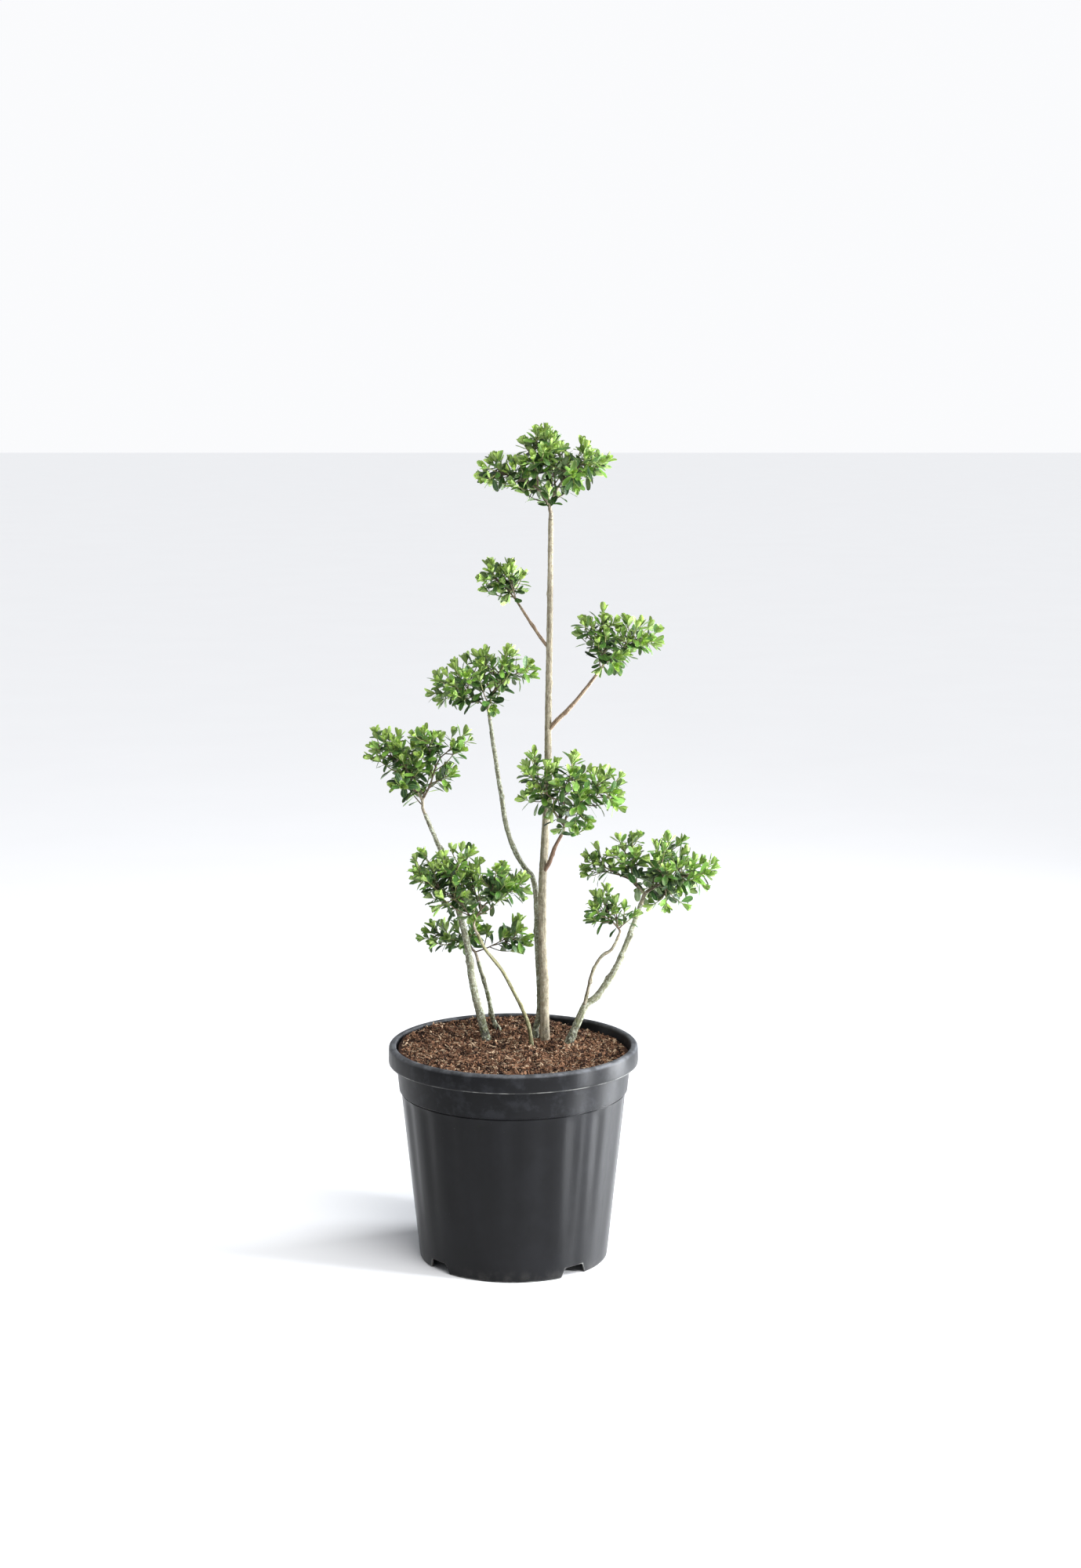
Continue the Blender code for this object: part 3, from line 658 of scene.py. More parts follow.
def pot_outline():
    """(radius, height) round the pot's wall, from the middle underneath to the floor inside."""
    lip = POT_HEIGHT - RIM_DEPTH
    ring_wall = wall_radius(RING_HEIGHT) - POT_WALL
    outline = [(0, 0), (FLOOR_RADIUS, 0), (FLOOR_RADIUS + 0.002, RING_HEIGHT)]
    outline += [(ring_wall, RING_HEIGHT), (POT_FOOT - POT_WALL, 0), (POT_FOOT - 0.0009, 0)]
    outline += [(POT_FOOT - 0.0003, 0.0003), (POT_FOOT, 0.0009)]
    heights = [0.004, 0.012] + [0.012 + 0.0206 * k for k in range(1, 10)] + [0.210, 0.2155]
    outline += [(wall_radius(h), h) for h in heights]
    top = wall_radius(SHOULDER_HEIGHT)
    outline += [(top - 0.0003, SHOULDER_HEIGHT - 0.0026), (top - 0.0011, SHOULDER_HEIGHT - 0.0018)]
    outline += [(top - 0.0011, SHOULDER_HEIGHT - 0.0004), (top + 0.0006, SHOULDER_HEIGHT)]
    outline += [(top + SHOULDER_STEP - 0.0008, SHOULDER_HEIGHT + 0.0004)]
    outline += [(top + SHOULDER_STEP - 0.0001, SHOULDER_HEIGHT + 0.0011)]
    outline += [(top + SHOULDER_STEP, SHOULDER_HEIGHT + SHOULDER_STEP)]
    outline += [(COLLAR_RADIUS - 0.0004, lip - 0.003), (COLLAR_RADIUS, lip)]
    outline += [(RIM_RADIUS - 0.0030, lip + 0.0006), (RIM_RADIUS - 0.0026, lip)]
    outline += [(RIM_RADIUS - 0.0010, lip), (RIM_RADIUS - 0.0003, lip + 0.0008)]
    outline += [(RIM_RADIUS, lip + 0.0035), (RIM_RADIUS - 0.0002, lip + 0.012)]
    outline += arc((RIM_RADIUS - RIM_ROUND - 0.0004, POT_HEIGHT - RIM_ROUND), RIM_ROUND, 8, 90, 7)
    outline += arc((RIM_MOUTH + 0.0022, POT_HEIGHT - 0.0022), 0.0022, 90, 180, 5)
    outline += [(RIM_MOUTH - 0.0006, POT_HEIGHT - 0.006), (COLLAR_RADIUS - POT_WALL, lip)]
    outline += [(wall_radius(SHOULDER_HEIGHT) - POT_WALL, SHOULDER_HEIGHT)]
    outline += [(wall_radius(0.024) - POT_WALL, 0.024), (0, FLOOR_THICK + RING_HEIGHT)]
    return outline


def turned(outline, sides, drawn_in=None):
    """Verts and faces of an outline turned about the pot's axis; both its ends are on the axis."""
    verts = [(0, 0, outline[0][1])]
    for radius, height in outline[1:-1]:
        for k in range(sides):
            turn = 2 * math.pi * k / sides
            reach = radius - (drawn_in(height, turn) if drawn_in and radius > POT_FOOT else 0)
            verts.append((reach * math.cos(turn), reach * math.sin(turn), height))
    verts.append((0, 0, outline[-1][1]))
    last, rings = len(verts) - 1, len(outline) - 2
    faces = []
    for k in range(sides):
        n = (k + 1) % sides
        faces.append((0, 1 + n, 1 + k))
        for ring in range(rings - 1):
            low, high = 1 + ring * sides, 1 + (ring + 1) * sides
            faces.append((low + k, low + n, high + n, high + k))
        top = 1 + (rings - 1) * sides
        faces.append((last, top + k, top + n))
    return verts, faces


def notch_outline():
    """(across, height) round a drain notch, wider at its foot, with rounded upper corners."""
    corner = Vector((DRAIN_WIDTH / 2 - DRAIN_SLANT * DRAIN_HEIGHT, DRAIN_HEIGHT))
    down = Vector((DRAIN_SLANT, -1)).normalized() * DRAIN_ROUND
    inward = Vector((-DRAIN_ROUND, 0))
    side = [Vector((DRAIN_WIDTH / 2 + DRAIN_SLANT * CUTTER_EXCESS, -CUTTER_EXCESS))]
    side += [corner + down * (1 - t) ** 2 + inward * t * t for t in (0, 0.25, 0.5, 0.75, 1)]
    return side + [Vector((-x, z)) for x, z in side[::-1]]


def drain_cutter(bearing):
    outline = notch_outline()
    count = len(outline)
    near, far = POT_FOOT - CUTTER_INSET, POT_FOOT + CUTTER_EXCESS
    verts = [(x, reach, z) for reach in (near, far) for x, z in outline]
    faces = [tuple(range(count)), tuple(range(count, 2 * count))[::-1]]
    faces += [(k, k + count, (k + 1) % count + count, (k + 1) % count) for k in range(count)]
    mesh = bpy.data.meshes.new("drain_cutter")
    mesh.from_pydata(verts, [], faces)
    cutter = bpy.data.objects.new("drain_cutter", mesh)
    bpy.context.scene.collection.objects.link(cutter)
    cutter.rotation_euler.z = math.radians(bearing - 180)
    work = bmesh.new()
    work.from_mesh(mesh)
    bmesh.ops.recalc_face_normals(work, faces=work.faces)
    work.to_mesh(mesh)
    work.free()
    return cutter


def edge_wear_and_highlight(finish, place):
    """1 along the pot's foot and the drain notches, where it is rubbed, and along the rim's lower edge, where a
    highlight is painted.
    """
    x, y, height = (finish.axis(place, name) for name in "XYZ")
    turn = math.radians(DRAIN_BEARINGS[0])
    one = (x * math.cos(turn) + y * math.sin(turn)).size()
    other = (y * math.cos(turn) - x * math.sin(turn)).size()
    across = one.math("MINIMUM", one, other)
    beside = across + height * DRAIN_SLANT - DRAIN_WIDTH / 2
    notch = one.math("MAXIMUM", beside, height - DRAIN_HEIGHT)
    rubbed = notch.above(0.0009, 0.0003) * height.above(DRAIN_HEIGHT + 0.002, DRAIN_HEIGHT)
    foot = height.above(0.0022, 0.0008)
    # painted highlight: a pale line along the rim's lower edge
    lip = (height - (POT_HEIGHT - RIM_DEPTH + 0.0008)).size().above(0.0009, 0.0003)
    patchy = 0.15 + 0.85 * finish.noise(place, 38, 3).above(0.44, 0.62)
    return one.math("MAXIMUM", rubbed, one.math("MAXIMUM", foot, lip)) * patchy


def pot_plastic():
    """Glossy charcoal plastic, drawn out in upright streaks, dulled and scuffed at the rim's top, with painted
    highlights: a bluish mottling on the collar and a pale line along the rim's lower edge.
    """
    finish = Finish("pot_plastic")
    place = finish.place()
    height = finish.axis(place, "Z")
    clouding = finish.noise(place, 22, 4)
    streaks = finish.noise(finish.scaled(place, (1, 1, 0.06)), 70, 3)
    mottling = finish.noise(place, 55, 4, 0.65)
    specks = finish.cells(place, 170).above(0.09, 0.02) * finish.noise(place, 18).above(0.60, 0.68)
    collar = height.above(SHOULDER_HEIGHT - 0.004, SHOULDER_HEIGHT + 0.006)
    rim_top = height.above(POT_HEIGHT - 0.0045, POT_HEIGHT - 0.0005)
    rim_dust = rim_top * (0.35 + 0.65 * mottling.above(0.35, 0.65))
    foot_dust = height.above(0.022, 0.0) * mottling.above(0.45, 0.7)
    wear_and_highlight = edge_wear_and_highlight(finish, place)
    colour = finish.mix(clouding.above(0.35, 0.75), (0.0036, 0.0038, 0.0046), (0.0062, 0.0065, 0.0080))
    # painted highlight: a pale bluish mottling on the collar
    colour = finish.mix(collar * mottling.above(0.48, 0.68) * 0.30, colour, (0.036, 0.038, 0.044))
    colour = finish.mix(rim_dust * 0.80, colour, (0.155, 0.160, 0.172))
    colour = finish.mix(foot_dust * 0.25, colour, (0.080, 0.076, 0.070))
    # pale edges: rubbed at the foot and the notches, and a painted highlight along the rim's lower edge
    colour = finish.mix(wear_and_highlight * 0.75, colour, (0.230, 0.230, 0.215))
    colour = finish.mix(specks * 0.45, colour, (0.150, 0.150, 0.155))
    finish.set("Base Color", colour)
    dull = 0.06 * clouding + 0.10 * streaks + 0.16 * collar * mottling + 0.20 * rim_dust
    finish.set("Roughness", 0.27 + dull)
    finish.set("Specular IOR Level", 0.21)
    finish.set("Anisotropic", 0.85)
    finish.set("Anisotropic Rotation", 0.25)
    finish.bump(finish.noise(place, 300, 2) * 0.3 + streaks * 0.7, 0.00016)
    return finish


def dress_pot():
    verts, faces = turned(pot_outline(), POT_SIDES, flute_at)
    pot = add_piece("nursery_pot", verts, faces, pot_plastic(), ["pot"])
    for bearing in DRAIN_BEARINGS:
        cutter = drain_cutter(bearing)
        cut = pot.modifiers.new("drain", "BOOLEAN")
        cut.object = cutter
        bpy.context.view_layer.update()
        finished = bpy.data.meshes.new_from_object(
            pot.evaluated_get(bpy.context.evaluated_depsgraph_get())
        )
        pot.modifiers.clear()
        pot.data = finished
        bpy.data.objects.remove(cutter, do_unlink=True)
    pot.data.set_sharp_from_angle(angle=math.radians(38))


# Soil


def soil_height(x, y):
    """The potting mix lies highest at the back, up to the rim, but stays low at the back right."""
    reach = math.hypot(x, y) / SOIL_RADIUS
    back = min(max((y - 0.6 * x - 0.030) / 0.095, 0), 1)
    right = min(max((x - 0.045) / 0.045, 0), 1)
    rise = SOIL_RISE * back * (1 - right)
    lumps = noise.noise(Vector((x * 34, y * 34, 0))) + 0.6 * noise.noise(Vector((x * 95, y * 95, 3)))
    fall = 0.003 * right * max(reach - 0.8, 0) / 0.2
    return SOIL_TOP + SOIL_MOUND * (1 - reach * reach) + rise + SOIL_LUMPS * lumps - fall


def potting_mix(name, colour, shade):
    """Matt bark and coir with dark pores."""
    finish = Finish(name, colour, 0.92)
    place = finish.place()
    grain = finish.noise(place, 420, 4)
    tone = (grain * 0.6 + finish.noise(place, 60, 3) * 0.4).above(0.38, 0.60)
    finish.set("Base Color", finish.mix(tone, tuple(c * shade for c in colour), colour))
    finish.set("Specular IOR Level", 0.2)
    finish.bump(grain, 0.0004)
    return finish


def chip(rng, middle, size):
    """A splinter of bark: a flat bent sliver with uneven ends."""
    length, width, thick = size
    heading = Vector((rng.gauss(0, 1), rng.gauss(0, 1), rng.gauss(0, 0.55))).normalized()
    side = heading.cross(UP).normalized()
    side = (side + UP * rng.gauss(0, 0.45)).normalized()
    face = side.cross(heading).normalized()
    bend = rng.uniform(-0.18, 0.18) * length
    verts = []
    for along, share, lift in ((-0.5, 0.55, bend), (0, 1.0, 0), (0.5, 0.45, bend)):
        centre = middle + heading * (along * length) + face * lift
        reach = side * width * share * 0.5 * rng.uniform(0.75, 1.25)
        ridge = face * thick * 0.5
        verts += [centre - reach, centre + ridge, centre + reach, centre - ridge]
    return verts, tube_faces(3, 4)


def fibre(rng, middle, length):
    """A coir fibre that lies curled on the surface."""
    heading = Matrix.Rotation(rng.uniform(0, 2 * math.pi), 3, "Z") @ Vector((1, 0, 0))
    curl = rng.uniform(-1.9, 1.9)
    course = []
    place = middle.copy()
    for _ in range(6):
        place.z = soil_height(place.x, place.y) + rng.uniform(0.0004, 0.0022)
        course.append(place.copy())
        place = place + heading * length / 6
        heading = Matrix.Rotation(curl / 6, 3, "Z") @ heading
    radius = rng.uniform(0.00025, 0.00045)
    return tube(course, [radius] * 5 + [radius * 0.5], 3)


def dress_soil():
    rng = random.Random("potting mix")
    rings, sectors = 64, 200
    verts = [(0, 0, soil_height(0, 0))]
    for ring in range(1, rings + 1):
        radius = SOIL_RADIUS * ring / rings
        for k in range(sectors):
            turn = 2 * math.pi * k / sectors
            x, y = radius * math.cos(turn), radius * math.sin(turn)
            verts.append((x, y, soil_height(x, y)))
    for k in range(sectors):
        turn = 2 * math.pi * k / sectors
        verts.append((SOIL_RADIUS * math.cos(turn), SOIL_RADIUS * math.sin(turn), SOIL_TOP - 0.03))
    faces = []
    for k in range(sectors):
        n = (k + 1) % sectors
        faces.append((0, 1 + k, 1 + n))
        for ring in range(rings):
            low, high = 1 + ring * sectors, 1 + (ring + 1) * sectors
            faces.append((low + k, high + k, high + n, low + n))
    ground = potting_mix("soil_ground", (0.055, 0.027, 0.017), 0.22)
    add_piece("soil_ground", verts, faces, ground, ["soil"])
    tints = {
        "dark": ((0.030, 0.015, 0.010), 0.24),
        "brown": ((0.160, 0.080, 0.048), 0.34),
        "rust": ((0.310, 0.165, 0.095), 0.28),
        "straw": ((0.540, 0.390, 0.260), 0.14),
    }
    heaps = {tint: Heap() for tint in tints}
    feet = [Vector(form["course"][0]).xy for form in LIMBS.values() if "carrier" not in form]
    names, shares = list(tints), [share for _, share in tints.values()]
    for k in range(CHIP_COUNT + FIBRE_COUNT):
        radius = (SOIL_RADIUS - 0.005) * math.sqrt(rng.random())
        turn = rng.uniform(0, 2 * math.pi)
        x, y = radius * math.cos(turn), radius * math.sin(turn)
        if min((Vector((x, y)) - foot).length for foot in feet) < 0.0080:
            continue
        if k < CHIP_COUNT:
            length = rng.choice((0.002, 0.003, 0.004, 0.005, 0.0075)) * rng.uniform(0.8, 1.2)
            size = (length, length * rng.uniform(0.28, 0.60), length * rng.uniform(0.14, 0.34))
            middle = Vector((x, y, soil_height(x, y) + rng.uniform(-0.0004, 0.0016)))
            heaps[rng.choices(names, shares)[0]].add(*chip(rng, middle, size))
        else:
            heap = heaps[rng.choice(("rust", "straw", "brown"))]
            heap.add(*fibre(rng, Vector((x * 0.93, y * 0.93, 0)), rng.uniform(0.007, 0.018)))
    for tint, (colour, _) in tints.items():
        finish = potting_mix(f"soil_{tint}", colour, 0.5)
        heap = heaps[tint]
        name = f"soil_{tint}_bits"
        add_piece(name, heap.verts, heap.faces, finish, ["soil"], smooth=False)


# Limbs


class Limb:
    """A tapering stem or bough along its course."""

    def __init__(self, name, course, radii, carrier=None):
        self.name, self.carrier = name, carrier
        points = [Vector(p) for p in course]
        if not carrier:
            below = points[0] - (points[1] - points[0]).normalized() * FLARE_HEIGHT
            points = [below] + points
        self.course = smooth_course(points, LIMB_STEP)
        self.foot_radius, self.tip_radius = radii
        self.fine = smooth_course(points, BARK_RING_STEP)
        self.reached = lengths_along(self.fine)
        self.radii = [self.radius_at(k) for k in range(len(self.fine))]

    def radius_at(self, k):
        share = self.reached[k] / self.reached[-1]
        radius = self.foot_radius + (self.tip_radius - self.foot_radius) * share
        if not self.carrier:
            rise = max(self.fine[k].z - SOIL_TOP, 0)
            radius *= 1 + FLARE * math.exp(-rise / FLARE_HEIGHT)
        return radius

    @property
    def tip(self):
        return self.course[-1]

    @property
    def heading(self):
        return (self.course[-1] - self.course[-2]).normalized()

    def body(self, swelling):
        """A plain tube a little larger than the limb, for twigs and leaves to keep clear of."""
        places = self.fine[::8] + [self.fine[-1]]
        radii = [radius + swelling for radius in self.radii[::8] + [self.radii[-1]]]
        return tube(places, radii, 8)


def bark(name, tone, lichen):
    """Bark streaked along the limb, with scales, moss, pale lichen and dark scars at its foot, and painted shade in
    its cracks.
    """
    dark, light = BARK_TONES[tone]
    finish = Finish(f"{name}_bark", roughness=0.82)
    grain = finish.stored("grain")
    place = finish.place()
    height = finish.axis(place, "Z")
    stripes = finish.noise(finish.scaled(grain, (1, 1, 0.25)), 420, 3, 0.6)
    streaks = finish.noise(grain, 1000, 4, 0.65)
    patches = finish.noise(place, 170, 4, 0.6)
    tone = (streaks * 0.45 + stripes * 0.35 + patches * 0.20).above(0.40, 0.60)
    colour = finish.mix(tone, dark, light)
    foot = 1 - height.above(SOIL_TOP + 0.02, SOIL_TOP + 0.22)
    mossy = finish.noise(place, 90, 4).above(0.48, 0.60) * (0.30 + 0.70 * foot) * lichen
    colour = finish.mix(mossy * 0.65, colour, MOSS_COLOUR)
    crusts = finish.noise(place, 380, 3, 0.6).above(0.51, 0.56) * patches.above(0.40, 0.52)
    colour = finish.mix(crusts * lichen * 0.90, colour, LICHEN_COLOUR)
    # painted shade: the bark's colour is darkened in its cracks
    cracks = finish.noise(finish.scaled(grain, (1, 1, 3.0)), 1300, 5, 0.7).above(0.57, 0.66)
    colour = finish.mix(cracks * 0.70, colour, tuple(c * 0.30 for c in dark))
    base = height.above(SOIL_TOP + 0.045, SOIL_TOP + 0.012)
    scars = finish.noise(place, 240, 3).above(0.50, 0.54) * base * lichen
    colour = finish.mix(scars * 0.9, colour, SCAR_COLOUR)
    finish.set("Base Color", colour)
    finish.set("Roughness", 0.66 + 0.24 * patches)
    finish.set("Specular IOR Level", 0.35)
    finish.bump(streaks * 0.6 + crusts * 0.3 - cracks * 0.5, 0.0006, 0.9)
    return finish


def relief(limb, rough, knots, run, turn, middle):
    """How far the bark stands out at a place of a limb: ridges, scales and knots, in metres."""
    radius = limb.foot_radius
    x, y = math.cos(turn) * radius, math.sin(turn) * radius
    ridges = noise.noise(Vector((x * 480, y * 480, run * 60)))
    scales = noise.noise(Vector((x * 700, y * 700, run * 420 + 7)))
    swell = noise.noise(Vector((x * 150, y * 150, run * 75 + 19)))
    out = rough * (0.00028 * ridges + 0.00036 * scales + 0.00060 * swell)
    ring = math.sin(run * 2 * math.pi / 0.021 + 1.7 * math.sin(run * 60))
    out += 0.00020 * max(ring - 0.82, 0) / 0.18
    for k, height in enumerate(knots):
        side = k * GOLDEN_ANGLE * 2 - 1.2
        away = math.atan2(math.sin(turn - side), math.cos(turn - side)) * radius
        rise = (middle.z - height) / 0.0038
        out += 0.0014 * (0.5 + 0.5 * rough) * math.exp(-((away / 0.0030) ** 2) - rise * rise)
    return out


def dress_limbs(limbs):
    for name, (rough, lichen, tone, knots) in BARKS.items():
        limb = limbs[name]
        verts, grain = [], []
        radius = limb.foot_radius
        for k, (place, (heading, across)) in enumerate(zip(limb.fine, frames_along(limb.fine))):
            run = limb.reached[k]
            for j in range(BARK_SIDES):
                turn = 2 * math.pi * j / BARK_SIDES
                fade = min((limb.reached[-1] - run) / BARK_FADE, 1)
                reach = limb.radii[k] + fade * relief(limb, rough, knots, run, turn, place)
                verts.append(place + reach * way_out(heading, across, turn))
                grain.append((radius * math.cos(turn), radius * math.sin(turn), run * 0.12))
        faces = tube_faces(len(limb.fine), BARK_SIDES)
        piece = add_piece(f"{name}_bark", verts, faces, bark(name, tone, lichen), [name])
        stored = piece.data.attributes.new("grain", "FLOAT_VECTOR", "POINT")
        stored.data.foreach_set("vector", np.array(grain, np.float32).ravel())


# Twigs


class Lobe:
    def __init__(self, middle, halves, shoots):
        self.middle, self.halves, self.shoots = Vector(middle), Vector(halves), shoots

    def shoot_ends(self, rng):
        """(place, heading) of each main shoot's end, spread over the lobe but for its underside."""
        phase = rng.uniform(0, 2 * math.pi)
        for k in range(self.shoots):
            rise = 1 - (1 - LOWEST_SHOOT) * (k + 0.5) / self.shoots
            turn = phase + k * GOLDEN_ANGLE + rng.uniform(-0.3, 0.3)
            flat = math.sqrt(1 - rise * rise)
            out = Vector((flat * math.cos(turn), flat * math.sin(turn), rise))
            edge = Vector(out[i] * self.halves[i] for i in range(3))
            inset = min(SHOOT_INSET, SHOOT_INSET_SHARE * edge.length)
            place = self.middle + edge * (1 - inset / edge.length)
            yield place, (edge.normalized() + UP * SHOOT_LIFT).normalized()


class Twig:
    """A tapering twig along its course. Its last stretch is a shoot, which bears the leaves."""

    def __init__(self, course, radius):
        self.course = course
        self.reached = lengths_along(course)
        self.length = self.reached[-1]
        self.radii = [
            radius + (TWIG_END_RADIUS - radius) * (run / self.length) ** 0.7 for run in self.reached
        ]
        self.frames = frames_along(course)

    def at(self, back):
        """(place, heading, way across, radius) at a length back from the tip."""
        run = max(self.length - back, 0)
        k = next((k for k, reach in enumerate(self.reached) if reach >= run), 1)
        k = max(k, 1)
        span = self.reached[k] - self.reached[k - 1]
        t = (run - self.reached[k - 1]) / span
        heading = self.frames[k - 1][0].lerp(self.frames[k][0], t).normalized()
        across = self.frames[k - 1][1].lerp(self.frames[k][1], t)
        across = (across - heading * across.dot(heading)).normalized()
        radius = self.radii[k - 1] + (self.radii[k] - self.radii[k - 1]) * t
        return self.course[k - 1].lerp(self.course[k], t), heading, across, radius


def farthest_pair(places):
    pairs = [(p, q) for k, p in enumerate(places) for q in places[k + 1 :]]
    return max(pairs, key=lambda pair: (pair[0] - pair[1]).length)


def part_twigs(places, radius, ends, twigs, share=FORK_SHARE):
    """Grows a twig towards the middle of the given shoot ends. There it goes on to the nearer
    half of them, and a new twig leaves it for the others, until each has one end to reach."""
    if len(ends) == 1:
        end, heading = ends[0]
        lead = heading * (end - places[-1]).length
        twigs.append(Twig(smooth_course([*places, end], TWIG_STEP, lead), radius))
        return
    goals = [place for place, _ in ends]
    middle = sum(goals, Vector()) / len(goals)
    fork = places[-1].lerp(middle, share)
    one, other = farthest_pair(goals)
    near = [end for end in ends if (end[0] - one).length <= (end[0] - other).length]
    far = [end for end in ends if end not in near]
    if len(far) > len(near):
        near, far = far, near
    side = max(TWIG_LEAST_RADIUS, radius * (len(far) / len(ends)) ** THINNING)
    part_twigs([*places, fork], radius, near, twigs)
    part_twigs([fork], side, far, twigs)


class Crown:
    """Every cloud's space, and the twigs and leaves that have found room in it."""

    def __init__(self, limbs):
        self.lobes = [(name, Lobe(*lobe)) for name, cloud in CLOUDS.items() for lobe in cloud["lobes"]]
        self.middles = np.array([lobe.middle for _, lobe in self.lobes])
        self.halves = np.array([lobe.halves for _, lobe in self.lobes])
        self.owners = np.array([name for name, _ in self.lobes])
        self.limbs = [BVHTree.FromPolygons(*limb.body(LIMB_CLEAR)) for limb in limbs.values()]
        self.cells = {}
        self.leaves = {kind: [] for kind in LEAF_KINDS}
        self.wood = {age: Heap() for age in TWIG_COLOURS}

    def depth_of(self, place, name):
        """0 at the middle of a cloud's lobe, 1 on its surface."""
        depths = np.linalg.norm((np.array(place) - self.middles) / self.halves, axis=1)
        return depths[self.owners == name].min(), depths[self.owners != name].min()

    def holds(self, places, name, slack=SPACE_SLACK):
        for place in places:
            own, others = self.depth_of(place, name)
            if own > slack or others < max(own, 1):
                return False
        return True

    def misses_limbs(self, verts, faces):
        body = BVHTree.FromPolygons(verts, faces)
        return not any(body.overlap(limb) for limb in self.limbs)

    def add_wood(self, twig):
        """Gives a twig its bark, green towards its tip, brown behind and pale where it is thick."""
        last = len(twig.course) - 1
        young = sum(run < twig.length - YOUNG_WOOD for run in twig.reached)
        young = min(young, last - 1)
        stem = min(sum(radius > STEM_RADIUS for radius in twig.radii), young)
        for age, first, end in (("stem", 0, stem), ("old", stem, young), ("young", young, last)):
            if end > first:
                self.wood[age].add(*tube(twig.course[first : end + 1], twig.radii[first : end + 1], 6))

    def add_leaf(self, kind, blade):
        self.leaves[kind].append(blade)

    def has_room(self, blade):
        """True if a blade crosses no other, and then keeps its room."""
        outline = blade.outline()
        body = BVHTree.FromPolygons(*outline)
        cell = tuple(math.floor(c / 0.020) for c in blade.middle)
        for i in (-1, 0, 1):
            for j in (-1, 0, 1):
                for k in (-1, 0, 1):
                    for other in self.cells.get((cell[0] + i, cell[1] + j, cell[2] + k), ()):
                        if body.overlap(other):
                            return False
        self.cells.setdefault(cell, []).append(body)
        return True


class Blade:
    """One leaf: its root, the way it points, its upper side and its shape.

    The shape is its size and breadth, how far its tip bends down and its margins turn up, how far
    they ripple, and the share of its length that the shears have left.
    """

    def __init__(self, root, along, face, size, breadth, curl, fold, ripple, kept):
        self.root, self.along = root, along
        self.face = (face - along * face.dot(along)).normalized()
        self.side = along.cross(self.face)
        self.length, self.width = LEAF_LENGTH * size, LEAF_WIDTH * size * breadth
        self.curl, self.fold, self.ripple, self.kept = curl, fold, ripple, kept

    @property
    def middle(self):
        return self.root + self.along * self.length * 0.5

    def outline(self):
        """A few faces that fill the leaf's outline, clear of its stalk."""
        start = self.root + self.along * self.length * 0.24
        waist = self.root + (self.along * 0.58 - self.face * self.curl * 0.34) * self.length
        tip = self.root + (self.along - self.face * self.curl) * self.length
        reach = self.side * self.width * 0.40
        return [start, waist + reach, tip, waist - reach], [(0, 1, 3), (1, 2, 3)]


def leaf_half_width(t):
    """Half a leaf's width, of 1 in all: a narrow foot, a waist past its middle and a blunt tip."""
    foot = np.sin(np.pi / 2 * np.clip(t / LEAF_WAIST, 0, 1)) ** 1.3
    head = np.sqrt(np.clip(1 - ((t - LEAF_WAIST) / (1.02 - LEAF_WAIST)) ** 2, 0, 1))
    return 0.5 * np.where(t < LEAF_WAIST, np.maximum(foot, 0.10), head)


def blade_grid(across):
    """Share along and across of a blade's points, and its faces, between its two ends."""
    inner = STATIONS[1:-1]
    points = [(0, 0)] + [(t, v) for t in inner for v in across] + [(1, 0)]
    width = len(across)
    faces = [(0, 1 + v, 2 + v) for v in range(width - 1)]
    for row in range(len(inner) - 1):
        low = 1 + row * width
        for v in range(low, low + width - 1):
            faces.append((v, v + width, v + width + 1, v + 1))
    low, last = 1 + (len(inner) - 1) * width, len(points) - 1
    faces += [(low + v, last, low + v + 1) for v in range(width - 1)]
    return np.array(points), faces


def blade_mesh(blades, across, sink, flip):
    """Verts, faces and the share along and across at each vertex, of many blades at once."""
    points, faces = blade_grid(across)
    root, along, side, face = (
        np.array([getattr(blade, name)[:] for blade in blades])[:, None, :]
        for name in ("root", "along", "side", "face")
    )
    length, width, curl, fold, ripple, kept = (
        np.array([getattr(blade, name) for blade in blades])[:, None]
        for name in ("length", "width", "curl", "fold", "ripple", "kept")
    )
    v = points[:, 1]
    t = points[:, 0] * kept
    t[:, -1] = np.where(kept[:, 0] < 1, t[:, -2] + 0.004, 1)
    half = width * leaf_half_width(t)
    out = np.abs(v)
    rise = -curl * length * t**1.8 + fold * half * out**1.4
    rise += ripple * width * out * np.sin(9 * t + 40 * ripple)
    rise -= sink * np.sin(math.pi * np.clip(t, 0, 1)) * (1.001 - out)
    verts = root + along * (length * t)[..., None] + side * (half * v)[..., None]
    verts = verts + face * rise[..., None]
    starts = np.arange(len(blades)) * len(points)
    every = [
        tuple(int(start + k) for k in (corner[::-1] if flip else corner))
        for start in starts
        for corner in faces
    ]
    shares = np.tile(np.stack([v * 0.5 + 0.5, points[:, 0]], axis=1), (len(blades), 1))
    return verts.reshape(-1, 3), every, shares


def add_blades(name, finish, blades, across, sink=0.0, flip=False):
    verts, faces, shares = blade_mesh(blades, across, sink, flip)
    piece = add_piece(name, verts.tolist(), faces, finish, list(CLOUDS))
    layer = piece.data.uv_layers.new(name="blade")
    corners = np.empty(len(piece.data.loops), np.int32)
    piece.data.loops.foreach_get("vertex_index", corners)
    layer.data.foreach_set("uv", shares[corners].astype(np.float32).ravel())


